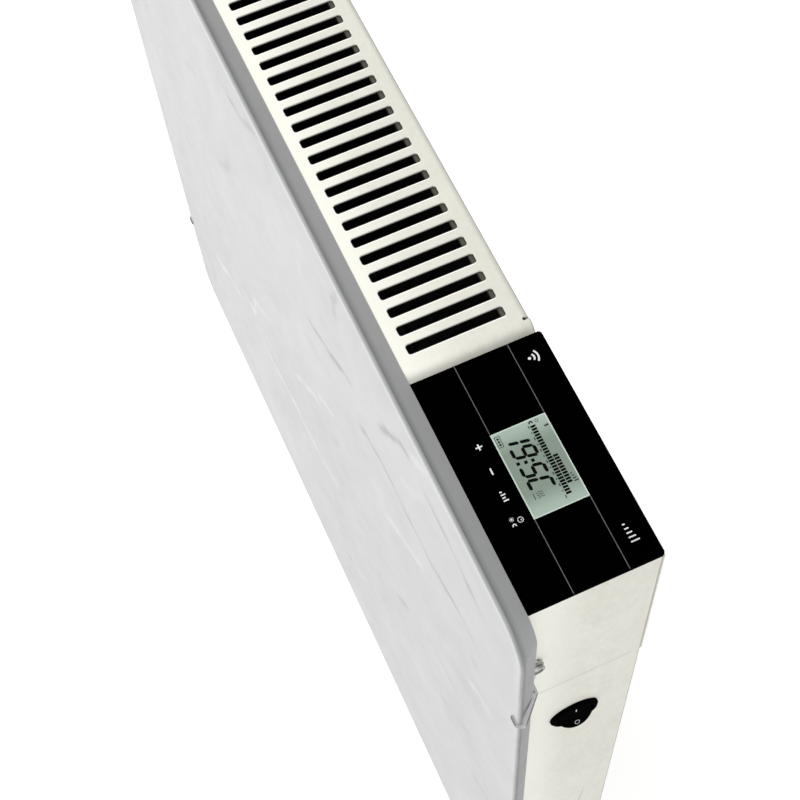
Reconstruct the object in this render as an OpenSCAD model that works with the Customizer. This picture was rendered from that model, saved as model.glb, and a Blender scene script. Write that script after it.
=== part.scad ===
// Wall panel convector heater with a cast-stone front.
// X runs along the wall, Y points to the wall, Z is up.
// The origin is the centre of the wall rail's back face.

/* [Stone slab] */
// Width of the stone front
slab_w = 500; // [480:5:600]
// Height of the stone front
slab_h = 500; // [480:5:600]
// Thickness of the stone front
slab_t = 9.8; // [8.6:0.2:13]
// How far the back outline lies inside the front outline
slab_undercut = 7.6; // [5:0.2:9]
// Corner radius of the front outline
slab_corner_r = 17; // [13:1:24]
// Rounding of the front arris
slab_arris_r = 1; // [0.6:0.1:1.4]
// How far the slab reaches past the housing at each end
side_overhang = 16; // [14:0.5:20]
// How far the slab reaches past the housing at top and bottom
top_overhang = 7.7; // [6:0.1:12]

/* [Slab heating wire] */
// Full-thickness rim left round the pocket in the back of the slab
pocket_margin = 36; // [30:1:50]
// Diameter of the sheathed heating wire
wire_d = 3; // [2.4:0.1:3.4]
// Spacing of the wire's runs
wire_pitch = 38; // [30:1:60]
// Free space between the wire's bends and the pocket's sides
wire_margin = 14; // [10:1:30]
// Thickness of the insulation board behind the wire
insulation_t = 2; // [1.5:0.1:2.6]
// Length of the wire's tails inside the housing
wire_tail = 14; // [10:1:20]

/* [Housing] */
// Depth of the housing from slab to back face
body_d = 54.1; // [50:0.5:66]
// Gap between the housing and the wall
wall_gap = 18; // [16:0.5:26]
// Distance from the housing's top down to the wall rail's centre
rail_drop = 120; // [105:1:150]
// Thickness of the housing's steel sheet
sheet_t = 1; // [0.8:0.1:1.4]
// Leg of the corner posts inside the housing
post_leg = 9; // [7:0.5:12]
// Reach of the support angle under the back of the top grille
angle_reach = 10.1; // [9.2:0.1:11]
// Diameter of the housing screws' heads
screw_head_d = 7; // [5.5:0.5:8]
// Thickness of the housing screws' heads
screw_head_t = 2; // [1.5:0.1:2.6]
// Diameter of the housing screws' shanks
screw_d = 3.5; // [2.8:0.1:4]
// Length of the housing screws' shanks
screw_len = 7; // [6:0.5:9]

// Width of the joint below the control panel
seam_gap = 0.1; // [0.05:0.05:0.2]
// Length of a stiffening swage in the rear panel
swage_len = 300; // [200:10:320]
// Radius of a swage's round back
swage_r = 7; // [6:0.5:9]
// Height of a swage over the rear panel
swage_h = 1.8; // [1.4:0.1:2]

/* [Top grille] */
// Width of one slot
slot_w = 4.4; // [3.4:0.1:5.4]
// Spacing of the slots
slot_pitch = 8.83; // [8:0.01:12]
// Distance from the slab's back to the slots
slot_front = 5.3; // [5:0.1:9]
// Corner radius of a slot
slot_r = 1; // [0.6:0.1:1.4]
// Distance from the back face to the slots
slot_back = 8; // [7:0.2:9]
// Distance from the grille's end to the first slot's centre line
slot_end = 14; // [13:0.2:20]
// Radius of the rolled ends
roll_r = 8.1; // [6:0.1:9]
// Radius of the rolled back edge
back_roll_r = 3; // [2:0.1:4]
// Depth of the turned-down edges
grille_flange = 12; // [10:0.5:16]
// Width of the relief nick at each end of the rolled back edge
nick_w = 1.4; // [1:0.1:2]

/* [Bottom grille] */
// Length of one inlet slot
inlet_len = 30; // [24:1:38]
// Width of one inlet slot
inlet_w = 5; // [4:0.2:6]
// Spacing of the inlet slots along the housing
inlet_pitch = 38; // [36:1:48]
// Spacing of the rows of inlet slots
inlet_row_pitch = 11; // [9:0.5:12]
// Rows of inlet slots
inlet_rows = 3; // [2:1:3]
// Plain end left at each end of the bottom grille
inlet_end = 62; // [58:1:80]

/* [Control panel] */
// Width of the control panel
module_w = 101.4; // [94:0.5:120]
// Height of the control panel's housing
module_h = 103.7; // [98:0.5:120]
// How far the panel's back cover stands behind the housing
module_proud = 1; // [0.8:0.1:1.6]
// Thickness of the control panel's walls
module_wall = 2; // [1.6:0.1:2.6]
// Thickness of the black glass
glass_t = 1.6; // [1.2:0.1:2.4]
// Corner radius of the glass
glass_r = 1.5; // [1:0.1:3]
// Length of the display window
lcd_w = 37.3; // [32:0.5:44]
// Depth of the display window
lcd_d = 22.75; // [18:0.25:26]
// Distance from the glass's right edge to the display
lcd_right = 31.85; // [26:0.5:38]
// Distance from the slab's back to the display
lcd_front = 18.25; // [18.2:0.05:22]
// Thickness of the display
lcd_t = 4.5; // [3.5:0.1:6]
// Clearance round the display
lcd_gap = 0.15; // [0.1:0.05:0.3]
// Diameter of one touch pad
pad_d = 7; // [5:0.5:8]
// Spacing of the touch pads
pad_pitch = 10.75; // [9:0.05:12]
// Distance from the slab's back to the touch pads' centres
pad_front = 12.5; // [8:0.1:12.5]
// Distance from the glass's left edge to the first touch pad's centre
pad_left = 34.9; // [20:0.1:40]
// Thickness of the circuit boards
board_t = 1.6; // [1:0.1:2]

/* [Power board] */
// Free width left beside the power board
power_side = 6; // [5:0.5:9]
// Free height left above the power board
power_above = 31.7; // [28:0.1:36]
// Gap between the power board and the back cover
standoff_h = 6; // [5:0.5:9]
// Diameter of the standoffs
standoff_d = 6; // [5:0.5:7]
// Distance from the board's edges to the standoffs
standoff_inset = 5; // [4:0.5:7]
// Width of the transformer
transformer_w = 28; // [24:1:32]
// Depth of the transformer
transformer_d = 22; // [18:1:26]
// Height of the transformer
transformer_h = 24; // [20:1:28]
// Width of the relay
relay_w = 15; // [12:0.5:18]
// Depth of the relay
relay_d = 15; // [12:0.5:20]
// Height of the relay
relay_h = 19; // [16:0.5:24]
// Diameter of a capacitor
cap_d = 10; // [8:0.5:12]
// Length of a capacitor
cap_len = 16; // [12:1:22]
// Width of the radio board
radio_w = 18; // [14:0.5:20]
// Length of the radio board
radio_l = 25; // [20:0.5:28]
// Thickness of the radio board with its can
radio_t = 3; // [2.4:0.1:4]
// Width of the board's wire connector
connector_w = 28; // [24:1:30]
// Depth of the board's wire connector
connector_d = 12; // [10:0.5:15]
// Height of the board's wire connector
connector_h = 9; // [8:0.5:11]
// Diameter of the connector's wire entries
entry_d = 3.5; // [2.6:0.1:4]
// Distance from the back cover's edges to its screws
cover_screw_inset = 11; // [10:0.5:14]

/* [Rocker switch] */
// Diameter of the switch's flange
flange_d = 23; // [22:0.1:24]
// Thickness of the switch's flange
flange_t = 2; // [1.6:0.1:2.4]
// Diameter of the switch's barrel
barrel_d = 19.9; // [19.5:0.1:20.1]
// Length of the barrel behind the panel
barrel_len = 15; // [14:0.5:20]
// Clearance round the barrel in the panel
barrel_gap = 0.15; // [0.1:0.05:0.25]
// Diameter of the rocker
rocker_d = 16.4; // [15.6:0.1:16.8]
// Height of the rocker's ends over its pivot
rocker_rise = 3; // [2.6:0.1:3.2]
// Depth of the dip in the rocker's middle
rocker_dip = 1.2; // [0.8:0.1:1.4]
// Depth of the rocker below its pivot
rocker_depth = 2.4; // [2:0.1:2.8]
// Tilt of the rocker from level to each stop
rocker_tilt = 12; // [10:0.5:13]
// Depth of the pivot behind the flange's face
pivot_depth = 1.6; // [1.4:0.1:1.8]
// Diameter of the pivot pins
pivot_d = 1.8; // [1.4:0.1:2]
// Radial clearance of the pivot pins
pivot_gap = 0.05; // [0.03:0.01:0.08]
// Clearance between the rocker's ends and the switch's opening
rocker_gap = 0.35; // [0.3:0.05:0.45]
// Distance from the back face to the switch's centre
switch_back = 27.7; // [22:0.1:32]
// Distance from the control panel's seam down to the switch's centre
switch_below = 50.8; // [36:0.2:90]
// Width of a terminal blade
blade_w = 6.3; // [4.8:0.1:6.4]
// Thickness of a terminal blade
blade_t = 0.8; // [0.6:0.1:1]
// Length of a terminal blade
blade_len = 8; // [6:0.5:10]

/* [Convector element] */
// Distance from the housing's ends to the finned part
fin_side = 58; // [54:1:90]
// Spacing of the fins
fin_pitch = 8; // [7:0.5:12]
// Thickness of one fin
fin_t = 0.6; // [0.5:0.1:1]
// Free depth left in front of and behind the fins
fin_clear = 10; // [8:0.5:13]
// Height of a fin
fin_h = 60; // [54:1:70]
// Corner radius of a fin
fin_r = 5; // [3:0.5:7]
// Diameter of the element's tube
tube_d = 8.5; // [7:0.5:10]
// Spacing of the tube's two legs
leg_pitch = 34; // [30:1:38]
// Distance from the housing's bottom up to the element's centre
element_rise = 120; // [105:1:150]
// Thickness of the element's brackets
bracket_t = 1.5; // [1.2:0.1:2]
// Foot of the element's brackets on the rear panel
bracket_foot = 14; // [12:0.5:18]
// Gap between the fins and the brackets
bracket_gap = 6; // [5:0.5:9]
// Wall of the ceramic bushes
bush_wall = 2.4; // [2:0.1:3]
// Length of the ceramic bushes
bush_len = 9; // [8:0.5:12]
// Collar of the ceramic bushes
bush_collar = 2; // [1.5:0.1:2.5]
// Diameter of the element's connection studs
stud_d = 4; // [3:0.5:5]
// Length of the element's connection studs
stud_len = 10; // [8:0.5:14]
// Diameter of the thermal cut-out
cutout_d = 16; // [14:0.5:18]
// Thickness of the thermal cut-out's body
cutout_t = 7; // [6:0.5:9]
// Height of the thermal cut-out over the element's centre
cutout_rise = 62; // [56:1:80]

/* [Supply] */
// Bore of the cable gland
gland_bore = 8.4; // [7:0.2:9]
// Wall of the cable gland
gland_wall = 2.6; // [2:0.1:3]
// Length of the gland below the bottom grille
gland_len = 7; // [5:0.5:7.5]
// Length of the gland's thread inside
gland_thread = 9; // [8:0.5:12]
// Thickness of the gland's nut
gland_nut_t = 4; // [3:0.5:5]
// Distance from the housing's right end to the gland's axis
gland_right = 34; // [28:1:42]
// Width of the supply terminal block
block_w = 36; // [30:1:42]
// Height of the supply terminal block
block_h = 18; // [14:1:22]
// Depth of the supply terminal block
block_d = 16; // [12:1:20]
// Distance from the housing's bottom up to the terminal block
block_rise = 52; // [46:1:56]

// Diameter of the inner wires
harness_d = 2.4; // [1.8:0.1:2.6]
// Step between a wire's end and its first bend
harness_step = 4; // [3.5:0.1:5]

/* [Slab clips] */
// Thickness of a clip's hook
clip_t = 2.5; // [2:0.1:3.5]
// Distance from the housing's top down to the upper clips
clip_drop = 74; // [70:1:95]
// How far a clip reaches behind the slab's back
clip_root = 3.1; // [2.6:0.1:4]
// Corner radius of a clip's shoulder
clip_shoulder_r = 2; // [1.5:0.1:2.4]
// Radius of the bend round the slab's arris
clip_bend_r = 3; // [2.6:0.1:3.4]
// Thickness of the tip on the slab's face
clip_face_t = 1.1; // [0.9:0.1:1.5]
// Reach of the tip over the slab's face
clip_reach = 4.4; // [3.6:0.1:6]
// Width of the leg on the housing's end
clip_leg_w = 5.2; // [4.8:0.1:5.6]
// Thickness of the leg on the housing's end
clip_leg_t = 1.2; // [1:0.1:1.6]
// Length of the leg above the hook
clip_leg_h = 18; // [16:0.5:22]
// Diameter of the knurled screw heads
knob_d = 7.6; // [7:0.1:8]
// Thickness of the knurled screw heads
knob_t = 2.1; // [1.8:0.1:3]

/* [Wall mounting] */
// How far the wall rail reaches past the hooks' centre lines
rail_end = 50; // [40:1:60]
// Height of the wall rail's back
rail_h = 60; // [56:1:70]
// Thickness of the wall rail's steel
rail_t = 1.5; // [1.5:0.1:2]
// How far the rail's lip stands off the wall
lip_out = 9.5; // [8.5:0.1:10.5]
// Height of the rail's lip
lip_h = 12; // [10:0.5:15]
// Distance from the rail's ends to the wall holes
hole_inset = 30; // [15:1:40]
// Distance between the wall holes up the rail
hole_span_h = 34; // [28:1:38]
// Diameter of the wall holes
wall_hole_d = 6.5; // [5:0.5:8]
// Width of a hanging hook
hook_w = 40; // [30:1:50]
// Gap along the wall between a hook and the control panel's back cover
hook_gap = 2.6; // [2:0.2:20]
// Height of a hanging hook's pad on the rear panel
hook_pad_h = 38; // [34:1:46]
// Length of a hanging hook's tongue behind the lip
hook_tongue = 8; // [6:0.5:9]
// Distance from the housing's ends to the lower spacers
spacer_inset = 54; // [40:1:80]
// Distance from the housing's bottom up to the spacers
spacer_rise = 36; // [30:1:60]
// Diameter of a spacer
spacer_d = 18; // [14:1:22]
// Thickness of the rubber foot on a spacer
foot_t = 2.5; // [2:0.1:4]

/* [Hidden] */
$fn = 48;
// Straight steps along the rocker's dished face
dish_steps = 12;
// Overrun of cutting shapes past the faces that they cut
over = 1;
// Small gap left between seated pieces
seat = 0.2;
// Stone, powder-coated steel and the other colours
stone_c = [0.86, 0.86, 0.86];
cream_c = [0.93, 0.92, 0.86];
steel_c = [0.72, 0.73, 0.74];
black_c = [0.05, 0.05, 0.05];
board_c = [0.1, 0.35, 0.2];
// Housing size from the slab and its overhangs
body_w = slab_w - 2 * side_overhang;
body_h = slab_h - 2 * top_overhang;
half_w = body_w / 2;
// Inside faces of the housing, in the housing's own frame
in_front = -body_d + sheet_t;
in_back = -sheet_t;
in_mid = (in_front + in_back) / 2;
// Slab corner centres and pocket
corner_x = slab_w / 2 - slab_corner_r;
corner_z = slab_h / 2 - slab_corner_r;
pocket_w = slab_w - 2 * pocket_margin;
pocket_h = slab_h - 2 * pocket_margin;
pocket_d = insulation_t + wire_d + 2 * seat;
// Serpentine runs of the heating wire, an even number
wire_space_h = pocket_h - 2 * wire_margin;
wire_turns = 2 * floor((wire_space_h / wire_pitch + 1) / 2) - 1;
wire_run = pocket_w - 2 * wire_margin - wire_pitch;
wire_y = -pocket_d + seat + wire_d / 2;
wire_low = -wire_turns * wire_pitch / 2;
wire_hole_r = wire_d / 2 + seat;
// Slot rows of the two grilles
grille_w = body_w - module_w;
slot_len = body_d - slot_front - slot_back;
slot_count = floor((grille_w - 2 * slot_end) / slot_pitch) + 1;
inlet_count = floor((body_w - 2 * inlet_end) / inlet_pitch) + 1;
// Control panel
module_x = half_w - module_w;
module_d = body_d + module_proud;
lcd_x = half_w - lcd_right - lcd_w / 2;
lcd_y = -body_d + lcd_front + lcd_d / 2;
touch_z = -lcd_t - seat;
pad_x = module_x + pad_left;
power_x = module_x + module_w / 2;
power_y = module_proud - module_wall - standoff_h;
power_w = module_w - 2 * power_side;
power_h = module_h - power_above;
power_top = module_wall - power_above;
// Rocker switch
switch_y = -switch_back;
switch_z = -module_h - switch_below;
pivot_x = flange_t - pivot_depth;
rocker_end_r = sqrt(pow(rocker_d / 2, 2) + pow(rocker_rise, 2));
opening_r = rocker_end_r + rocker_gap;
opening_depth = rocker_end_r + rocker_gap;
pin_reach = (opening_r + barrel_d / 2) / 2;
// Convector element
fin_run = body_w - 2 * fin_side;
fin_d = body_d - 2 * sheet_t - 2 * fin_clear;
element_z = -body_h + element_rise;
bracket_x = fin_run / 2 + bracket_gap;
leg_end = bracket_x + bush_len;
fin_count = floor(fin_run / fin_pitch) + 1;
bush_r = tube_d / 2 + bush_wall;
// Supply pieces
gland_x = half_w - gland_right;
gland_r = gland_bore / 2 + gland_wall;
// Clips
clip_pos_z = [-clip_drop, -body_h + clip_drop + clip_t];
face_y = -body_d - slab_t;
knob_y = -body_d + knob_d / 2 + seat;
knob_z = clip_leg_h - knob_d / 2;
// Wall mounting
hook_top = rail_h / 2 + lip_h;
hook_x = module_x - hook_gap - hook_w / 2;
rail_w = 2 * (hook_x + rail_end);
hole_x = rail_w / 2 - hole_inset;
spacer_x = half_w - spacer_inset;

// Points of an arc round c from angle a0 to a1 in n steps
function arc(c, r, a0, a1, n) = [
    for (i = [0:n]) c + r * [cos(a0 + (a1 - a0) * i / n), sin(a0 + (a1 - a0) * i / n)]
];

// The housing's frame: X centred, Y zero at its back face, Z zero at its top
module housing_frame() {
    translate([0, -wall_gap, rail_drop]) children();
}

// A box from its lowest corner to its highest
module box(low, high) {
    translate(low) cube(high - low);
}

// A rectangle with round corners, centred
module round_rect(w, d, r) {
    square([w - 2 * r, d], center = true);
    square([w, d - 2 * r], center = true);
    for (sx = [-1, 1], sy = [-1, 1])
        translate([sx * (w / 2 - r), sy * (d / 2 - r)]) circle(r);
}

// A rectangle with only its two back corners rounded
module back_round_rect(w, d, r) {
    translate([-w / 2, -d / 2]) square([w, d - r]);
    translate([-w / 2 + r, d / 2 - r]) square([w - 2 * r, r]);
    for (sx = [-1, 1]) translate([sx * (w / 2 - r), d / 2 - r]) circle(r);
}

// Edge profile of the slab: X outwards from the corner centre, Y from back to front
module slab_profile(r, t) {
    angle0 = atan2(t, slab_undercut + slab_arris_r);
    tip = r + slab_arris_r * (1 / tan(angle0 / 2) - 1);
    angle = atan2(t, tip - r + slab_undercut);
    centre = [tip - slab_arris_r / tan(angle / 2), t - slab_arris_r];
    polygon(concat(
        [[0, 0], [r - slab_undercut, 0]],
        arc(centre, slab_arris_r, angle - 90, 90, 6),
        [[0, t]]
    ));
}

// One straight edge of the slab, along X, with its corner line at height half
module slab_run(len, half) {
    translate([-len / 2, 0, half]) rotate([180, -90, 0]) linear_extrude(len)
        slab_profile(slab_corner_r, slab_t);
}

module slab_frame() {
    housing_frame() translate([0, -body_d, -body_h / 2]) children();
}

module front_slab() {
    color(stone_c) slab_frame() difference() {
        union() {
            box([-corner_x, -slab_t, -corner_z], [corner_x, 0, corner_z]);
            for (a = [0, 180]) rotate([0, a, 0]) slab_run(2 * corner_x, corner_z);
            for (a = [90, 270]) rotate([0, a, 0]) slab_run(2 * corner_z, corner_x);
            for (sx = [-1, 1], sz = [-1, 1])
                translate([sx * corner_x, 0, sz * corner_z]) rotate([90, 0, 0])
                    rotate_extrude($fn = 96) slab_profile(slab_corner_r, slab_t);
        }
        box([-pocket_w / 2, -pocket_d, -pocket_h / 2], [pocket_w / 2, over, pocket_h / 2]);
    }
}

// Half turn of the heating wire, open towards -X
module wire_bend() {
    rotate([90, 0, 0]) rotate([0, 0, -90]) rotate_extrude(angle = 180)
        translate([wire_pitch / 2, 0]) circle(d = wire_d);
}

module slab_heating_wire() {
    color("dimgray") slab_frame() translate([0, wire_y, wire_low]) {
        for (i = [0:wire_turns])
            translate([-wire_run / 2, 0, i * wire_pitch]) rotate([0, 90, 0])
                cylinder(d = wire_d, h = wire_run);
        for (i = [0:2:wire_turns - 1])
            translate([wire_run / 2, 0, (i + 0.5) * wire_pitch]) wire_bend();
        for (i = [1:2:wire_turns - 1])
            translate([-wire_run / 2, 0, (i + 0.5) * wire_pitch]) mirror([1, 0, 0]) wire_bend();
        for (z = [0, wire_turns * wire_pitch]) translate([-wire_run / 2, 0, z]) {
            sphere(d = wire_d);
            rotate([-90, 0, 0]) cylinder(d = wire_d, h = wire_tail - wire_y);
        }
    }
}

// Holes for the two tails of the heating wire
module wire_holes(low, high) {
    slab_frame() for (z = [0, wire_turns * wire_pitch])
        translate([-wire_run / 2, low, wire_low + z]) rotate([-90, 0, 0])
            cylinder(r = wire_hole_r, h = high - low);
}

module slab_insulation_board() {
    color("tan") difference() {
        slab_frame() box(
            [-pocket_w / 2 + seat, -insulation_t, -pocket_h / 2 + seat],
            [pocket_w / 2 - seat, 0, pocket_h / 2 - seat]
        );
        wire_holes(-insulation_t - over, over);
    }
}

module front_carrier_plate() {
    color(steel_c) difference() {
        housing_frame()
            box([-half_w + sheet_t, -body_d, -body_h + sheet_t], [half_w - sheet_t, in_front, -sheet_t]);
        wire_holes(-over, sheet_t + over);
        // notches for the rolled ends of the top grille
        housing_frame() for (x = [-half_w, module_x - roll_r])
            box([x, -body_d - over, -grille_flange], [x + roll_r, in_front + over, over]);
        // the control panel's corner of the plate is left open
        housing_frame() box(
            [module_x, -body_d - over, -module_h],
            [half_w + over, in_front + over, over]
        );
    }
}

// Quarter ring about the Y axis that rolls the top sheet down towards +X
module end_roll(depth) {
    rotate([90, 0, 0]) intersection() {
        linear_extrude(depth) difference() {
            circle(roll_r);
            circle(roll_r - sheet_t);
        }
        linear_extrude(depth) square(roll_r);
    }
}

// Quarter ring about the X axis that rolls the top sheet down towards +Y
module back_roll(length) {
    rotate([90, 0, 90]) intersection() {
        linear_extrude(length) difference() {
            circle(back_roll_r);
            circle(back_roll_r - sheet_t);
        }
        linear_extrude(length) square(back_roll_r);
    }
}

module top_grille() {
    flat_x = [-half_w + roll_r, module_x - roll_r];
    flat_len = flat_x[1] - flat_x[0];
    color(cream_c) housing_frame() difference() {
        union() {
            // flat top sheet
            box([flat_x[0], -body_d, -sheet_t], [flat_x[1], -back_roll_r, 0]);
            // turned-down front edge
            box([flat_x[0], in_front, -grille_flange], [flat_x[1], in_front + sheet_t, 0]);
            // rolled back edge with its skirt
            translate([flat_x[0], -back_roll_r, -back_roll_r]) back_roll(flat_len);
            box([flat_x[0], -sheet_t, -grille_flange], [flat_x[1], 0, -back_roll_r]);
            // rolled ends with their skirts
            translate([flat_x[1], -seat, -roll_r]) end_roll(body_d - seat);
            box([module_x - sheet_t, -body_d, -grille_flange], [module_x, -seat, -roll_r]);
            translate([flat_x[0], -seat, -roll_r]) mirror([1, 0, 0]) end_roll(body_d - seat);
            box([-half_w, -body_d, -grille_flange], [-half_w + sheet_t, -seat, -roll_r]);
        }
        // relief nicks between the rolled back edge and the rolled ends
        for (x = [flat_x[0] - nick_w, flat_x[1]])
            box([x, -back_roll_r, -grille_flange - over], [x + nick_w, over, over]);
        // slots
        for (i = [0:slot_count - 1])
            translate([module_x - slot_end - i * slot_pitch, -slot_back - slot_len / 2, -sheet_t - over])
                linear_extrude(sheet_t + 2 * over) round_rect(slot_w, slot_len, slot_r);
    }
}

module bottom_grille() {
    color(cream_c) housing_frame() difference() {
        union() {
            box([-half_w + sheet_t, -body_d, -body_h], [half_w - sheet_t, 0, -body_h + sheet_t]);
            box(
                [-half_w + sheet_t, in_front, -body_h],
                [half_w - sheet_t, in_front + sheet_t, -body_h + grille_flange]
            );
        }
        for (i = [0:inlet_count - 1], j = [0:inlet_rows - 1])
            translate([
                (i - (inlet_count - 1) / 2) * inlet_pitch,
                in_mid + (j - (inlet_rows - 1) / 2) * inlet_row_pitch,
                -body_h - over
            ]) linear_extrude(sheet_t + 2 * over) round_rect(inlet_len, inlet_w, slot_r);
        translate([gland_x, in_mid, -body_h - over])
            cylinder(r = gland_r + seat / 2, h = sheet_t + 2 * over);
    }
}

module left_end_plate() {
    color(cream_c) housing_frame()
        box([-half_w, -body_d, -body_h], [-half_w + sheet_t, 0, -grille_flange]);
}

module right_end_plate() {
    color(cream_c) housing_frame() difference() {
        box([half_w - sheet_t, -body_d, -body_h], [half_w, 0, -module_h - seam_gap]);
        translate([half_w - sheet_t - over, switch_y, switch_z]) rotate([0, 90, 0])
            cylinder(d = barrel_d + 2 * barrel_gap, h = sheet_t + 2 * over);
    }
}

// Places of the screws that hold the rear panel to the corner posts
function panel_screw_places() = [
    for (sx = [-1, 1], share = panel_screw_shares)
        [sx * (half_w - sheet_t - post_leg / 2 - seat), -grille_flange - share * (body_h - grille_flange)]
];
// Heights of the panel screws as shares of the panel's height
panel_screw_shares = [0.32, 0.62, 0.96];

// A long bar with round ends, whose axis runs along X under the rear panel's face
module swage_bar(r) {
    translate([-swage_len / 2, 0, 0]) {
        rotate([0, 90, 0]) cylinder(r = r, h = swage_len);
        for (x = [0, swage_len]) translate([x, 0, 0]) sphere(r);
    }
}

// Heights of the swages as shares of the rear panel's height
swage_shares = [0.46, 0.7];

module at_swages() {
    for (share = swage_shares)
        translate([0, swage_h - swage_r, -grille_flange - share * (body_h - grille_flange)]) children();
}

module rear_panel() {
    color(cream_c) housing_frame() difference() {
        union() {
            box([-half_w + sheet_t, in_back, -body_h + sheet_t], [half_w - sheet_t, 0, -grille_flange]);
            // swages pressed outwards, which stiffen the sheet
            difference() {
                at_swages() swage_bar(swage_r);
                box([-half_w, -body_d, -body_h], [half_w, -sheet_t / 2, 0]);
            }
        }
        at_swages() swage_bar(swage_r - sheet_t);
        box([module_x, in_back - over, -module_h], [half_w, over, over]);
        for (p = panel_screw_places())
            translate([p[0], over, p[1]]) rotate([90, 0, 0])
                cylinder(d = screw_d + seat, h = sheet_t + 2 * over);
    }
}

// One vertical post in the back left corner, seen from above
module post_section() {
    square([post_leg, sheet_t]);
    square([sheet_t, post_leg]);
}

module corner_posts() {
    post_top = [-grille_flange, -module_h];
    color(steel_c) housing_frame() difference() {
        for (k = [0, 1]) {
            length = body_h - sheet_t + post_top[k];
            translate([0, 0, -body_h + sheet_t]) mirror([k, 0, 0]) {
                translate([-half_w + sheet_t, in_front + sheet_t, 0])
                    linear_extrude(length) post_section();
                translate([-half_w + sheet_t, in_back, 0]) mirror([0, 1, 0])
                    linear_extrude(length) post_section();
            }
        }
        for (p = panel_screw_places())
            translate([p[0], over, p[1]]) rotate([90, 0, 0])
                cylinder(d = screw_d + seat, h = 2 * sheet_t + 2 * over);
    }
}

module top_support_angle() {
    ends = [-half_w + roll_r + nick_w, module_x - roll_r - nick_w];
    color(cream_c) housing_frame() {
        box([ends[0], -angle_reach, -2 * sheet_t], [ends[1], in_back - back_roll_r, -sheet_t]);
        box([ends[0], in_back - sheet_t, -grille_flange], [ends[1], in_back, -back_roll_r]);
        box(
            [ends[0], in_back - back_roll_r - sheet_t, -back_roll_r - sheet_t],
            [ends[1], in_back, -back_roll_r]
        );
        box(
            [ends[0], in_back - back_roll_r - sheet_t, -back_roll_r],
            [ends[1], in_back - back_roll_r, -sheet_t]
        );
    }
}

// A pan-head screw along -Y with its head's back on the plane y = 0
module pan_screw(head_d, head_t, shank_d, shank_len) {
    rotate([90, 0, 0]) {
        translate([0, 0, -head_t]) cylinder(d1 = head_d * 0.8, d2 = head_d, h = head_t / 2);
        translate([0, 0, -head_t / 2]) cylinder(d = head_d, h = head_t / 2);
        cylinder(d = shank_d, h = shank_len);
    }
}

module rear_panel_screws() {
    color(steel_c) housing_frame() for (p = panel_screw_places())
        translate([p[0], 0, p[1]]) pan_screw(screw_head_d, screw_head_t, screw_d, screw_len);
}

module control_shell() {
    color(cream_c) housing_frame() {
        // end wall, flush with the housing's end
        box([half_w - module_wall, -body_d, -module_h], [half_w, 0, -glass_t]);
        // front wall, against the slab
        box([module_x, -body_d, -module_h], [half_w - module_wall, -body_d + module_wall, -glass_t]);
        // inner wall, beside the grille
        box([module_x, -body_d + module_wall, -module_h], [module_x + module_wall, 0, -glass_t]);
    }
}

// Places of the cover screws, near the cover's four corners
function cover_screw_places() = [
    for (sx = [-1, 1]) [power_x + sx * (module_w / 2 - cover_screw_inset), -cover_screw_inset],
    for (sx = [-1, 1]) [power_x + sx * power_w / 4, -module_h + cover_screw_inset]
];

module control_back_cover() {
    color(cream_c) housing_frame() difference() {
        union() {
            box([module_x, 0, -module_h], [half_w, module_proud, -glass_t]);
            box(
                [module_x + module_wall + seat, module_proud - module_wall, -module_h],
                [half_w - module_wall - seat, 0, -glass_t]
            );
            // bosses that take the cover screws
            for (p = cover_screw_places())
                translate([p[0], 0, p[1]]) rotate([90, 0, 0]) cylinder(d = screw_head_d, h = screw_len);
        }
        for (p = cover_screw_places())
            translate([p[0], module_proud + over, p[1]]) rotate([90, 0, 0])
                cylinder(d = screw_d + seat, h = screw_len + module_proud + 2 * over);
    }
}

module control_cover_screws() {
    color(steel_c) housing_frame() for (p = cover_screw_places())
        translate([p[0], module_proud, p[1]])
            pan_screw(screw_head_d, screw_head_t, screw_d, screw_len);
}

module control_glass() {
    color(black_c) housing_frame() difference() {
        translate([module_x + module_w / 2, module_proud - module_d / 2, -glass_t])
            linear_extrude(glass_t) back_round_rect(module_w, module_d, glass_r);
        translate([lcd_x, lcd_y, -glass_t - over]) linear_extrude(glass_t + 2 * over)
            square([lcd_w + 2 * lcd_gap, lcd_d + 2 * lcd_gap], center = true);
    }
}

module lcd_display() {
    color([0.68, 0.76, 0.7]) housing_frame() {
        translate([lcd_x, lcd_y, -lcd_t]) linear_extrude(lcd_t - lcd_gap)
            square([lcd_w, lcd_d], center = true);
        translate([lcd_x, lcd_y, -lcd_t]) linear_extrude(lcd_t - glass_t - seat)
            square([lcd_w + 2 * module_wall, lcd_d + 2 * module_wall], center = true);
    }
}

module touch_board() {
    edge = module_wall + seat;
    color(board_c) housing_frame() box(
        [module_x + edge, -body_d + edge, touch_z - board_t],
        [half_w - edge, -edge, touch_z]
    );
}

module touch_pads() {
    color("gray") housing_frame() for (i = [0:3])
        translate([pad_x + i * pad_pitch, -body_d + pad_front, touch_z])
            cylinder(d = pad_d, h = -glass_t - touch_z - seat / 2);
}

// Places of the power board's standoffs
function standoff_places() = [
    for (sx = [-1, 1], z = [power_top - standoff_inset, power_top - power_h + standoff_inset])
        [power_x + sx * (power_w / 2 - standoff_inset), z]
];

module power_board() {
    color(board_c) housing_frame() box(
        [power_x - power_w / 2, power_y - board_t, power_top - power_h],
        [power_x + power_w / 2, power_y, power_top]
    );
}

module board_standoffs() {
    color("white") housing_frame() for (p = standoff_places())
        translate([p[0], power_y + standoff_h, p[1]]) rotate([90, 0, 0])
            cylinder(d = standoff_d, h = standoff_h);
}

// A part on the front of the power board: x from the board's left edge, z from its top
module on_power_board(x, z) {
    housing_frame() translate([power_x - power_w / 2 + x, power_y - board_t, power_top - z]) children();
}

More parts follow.
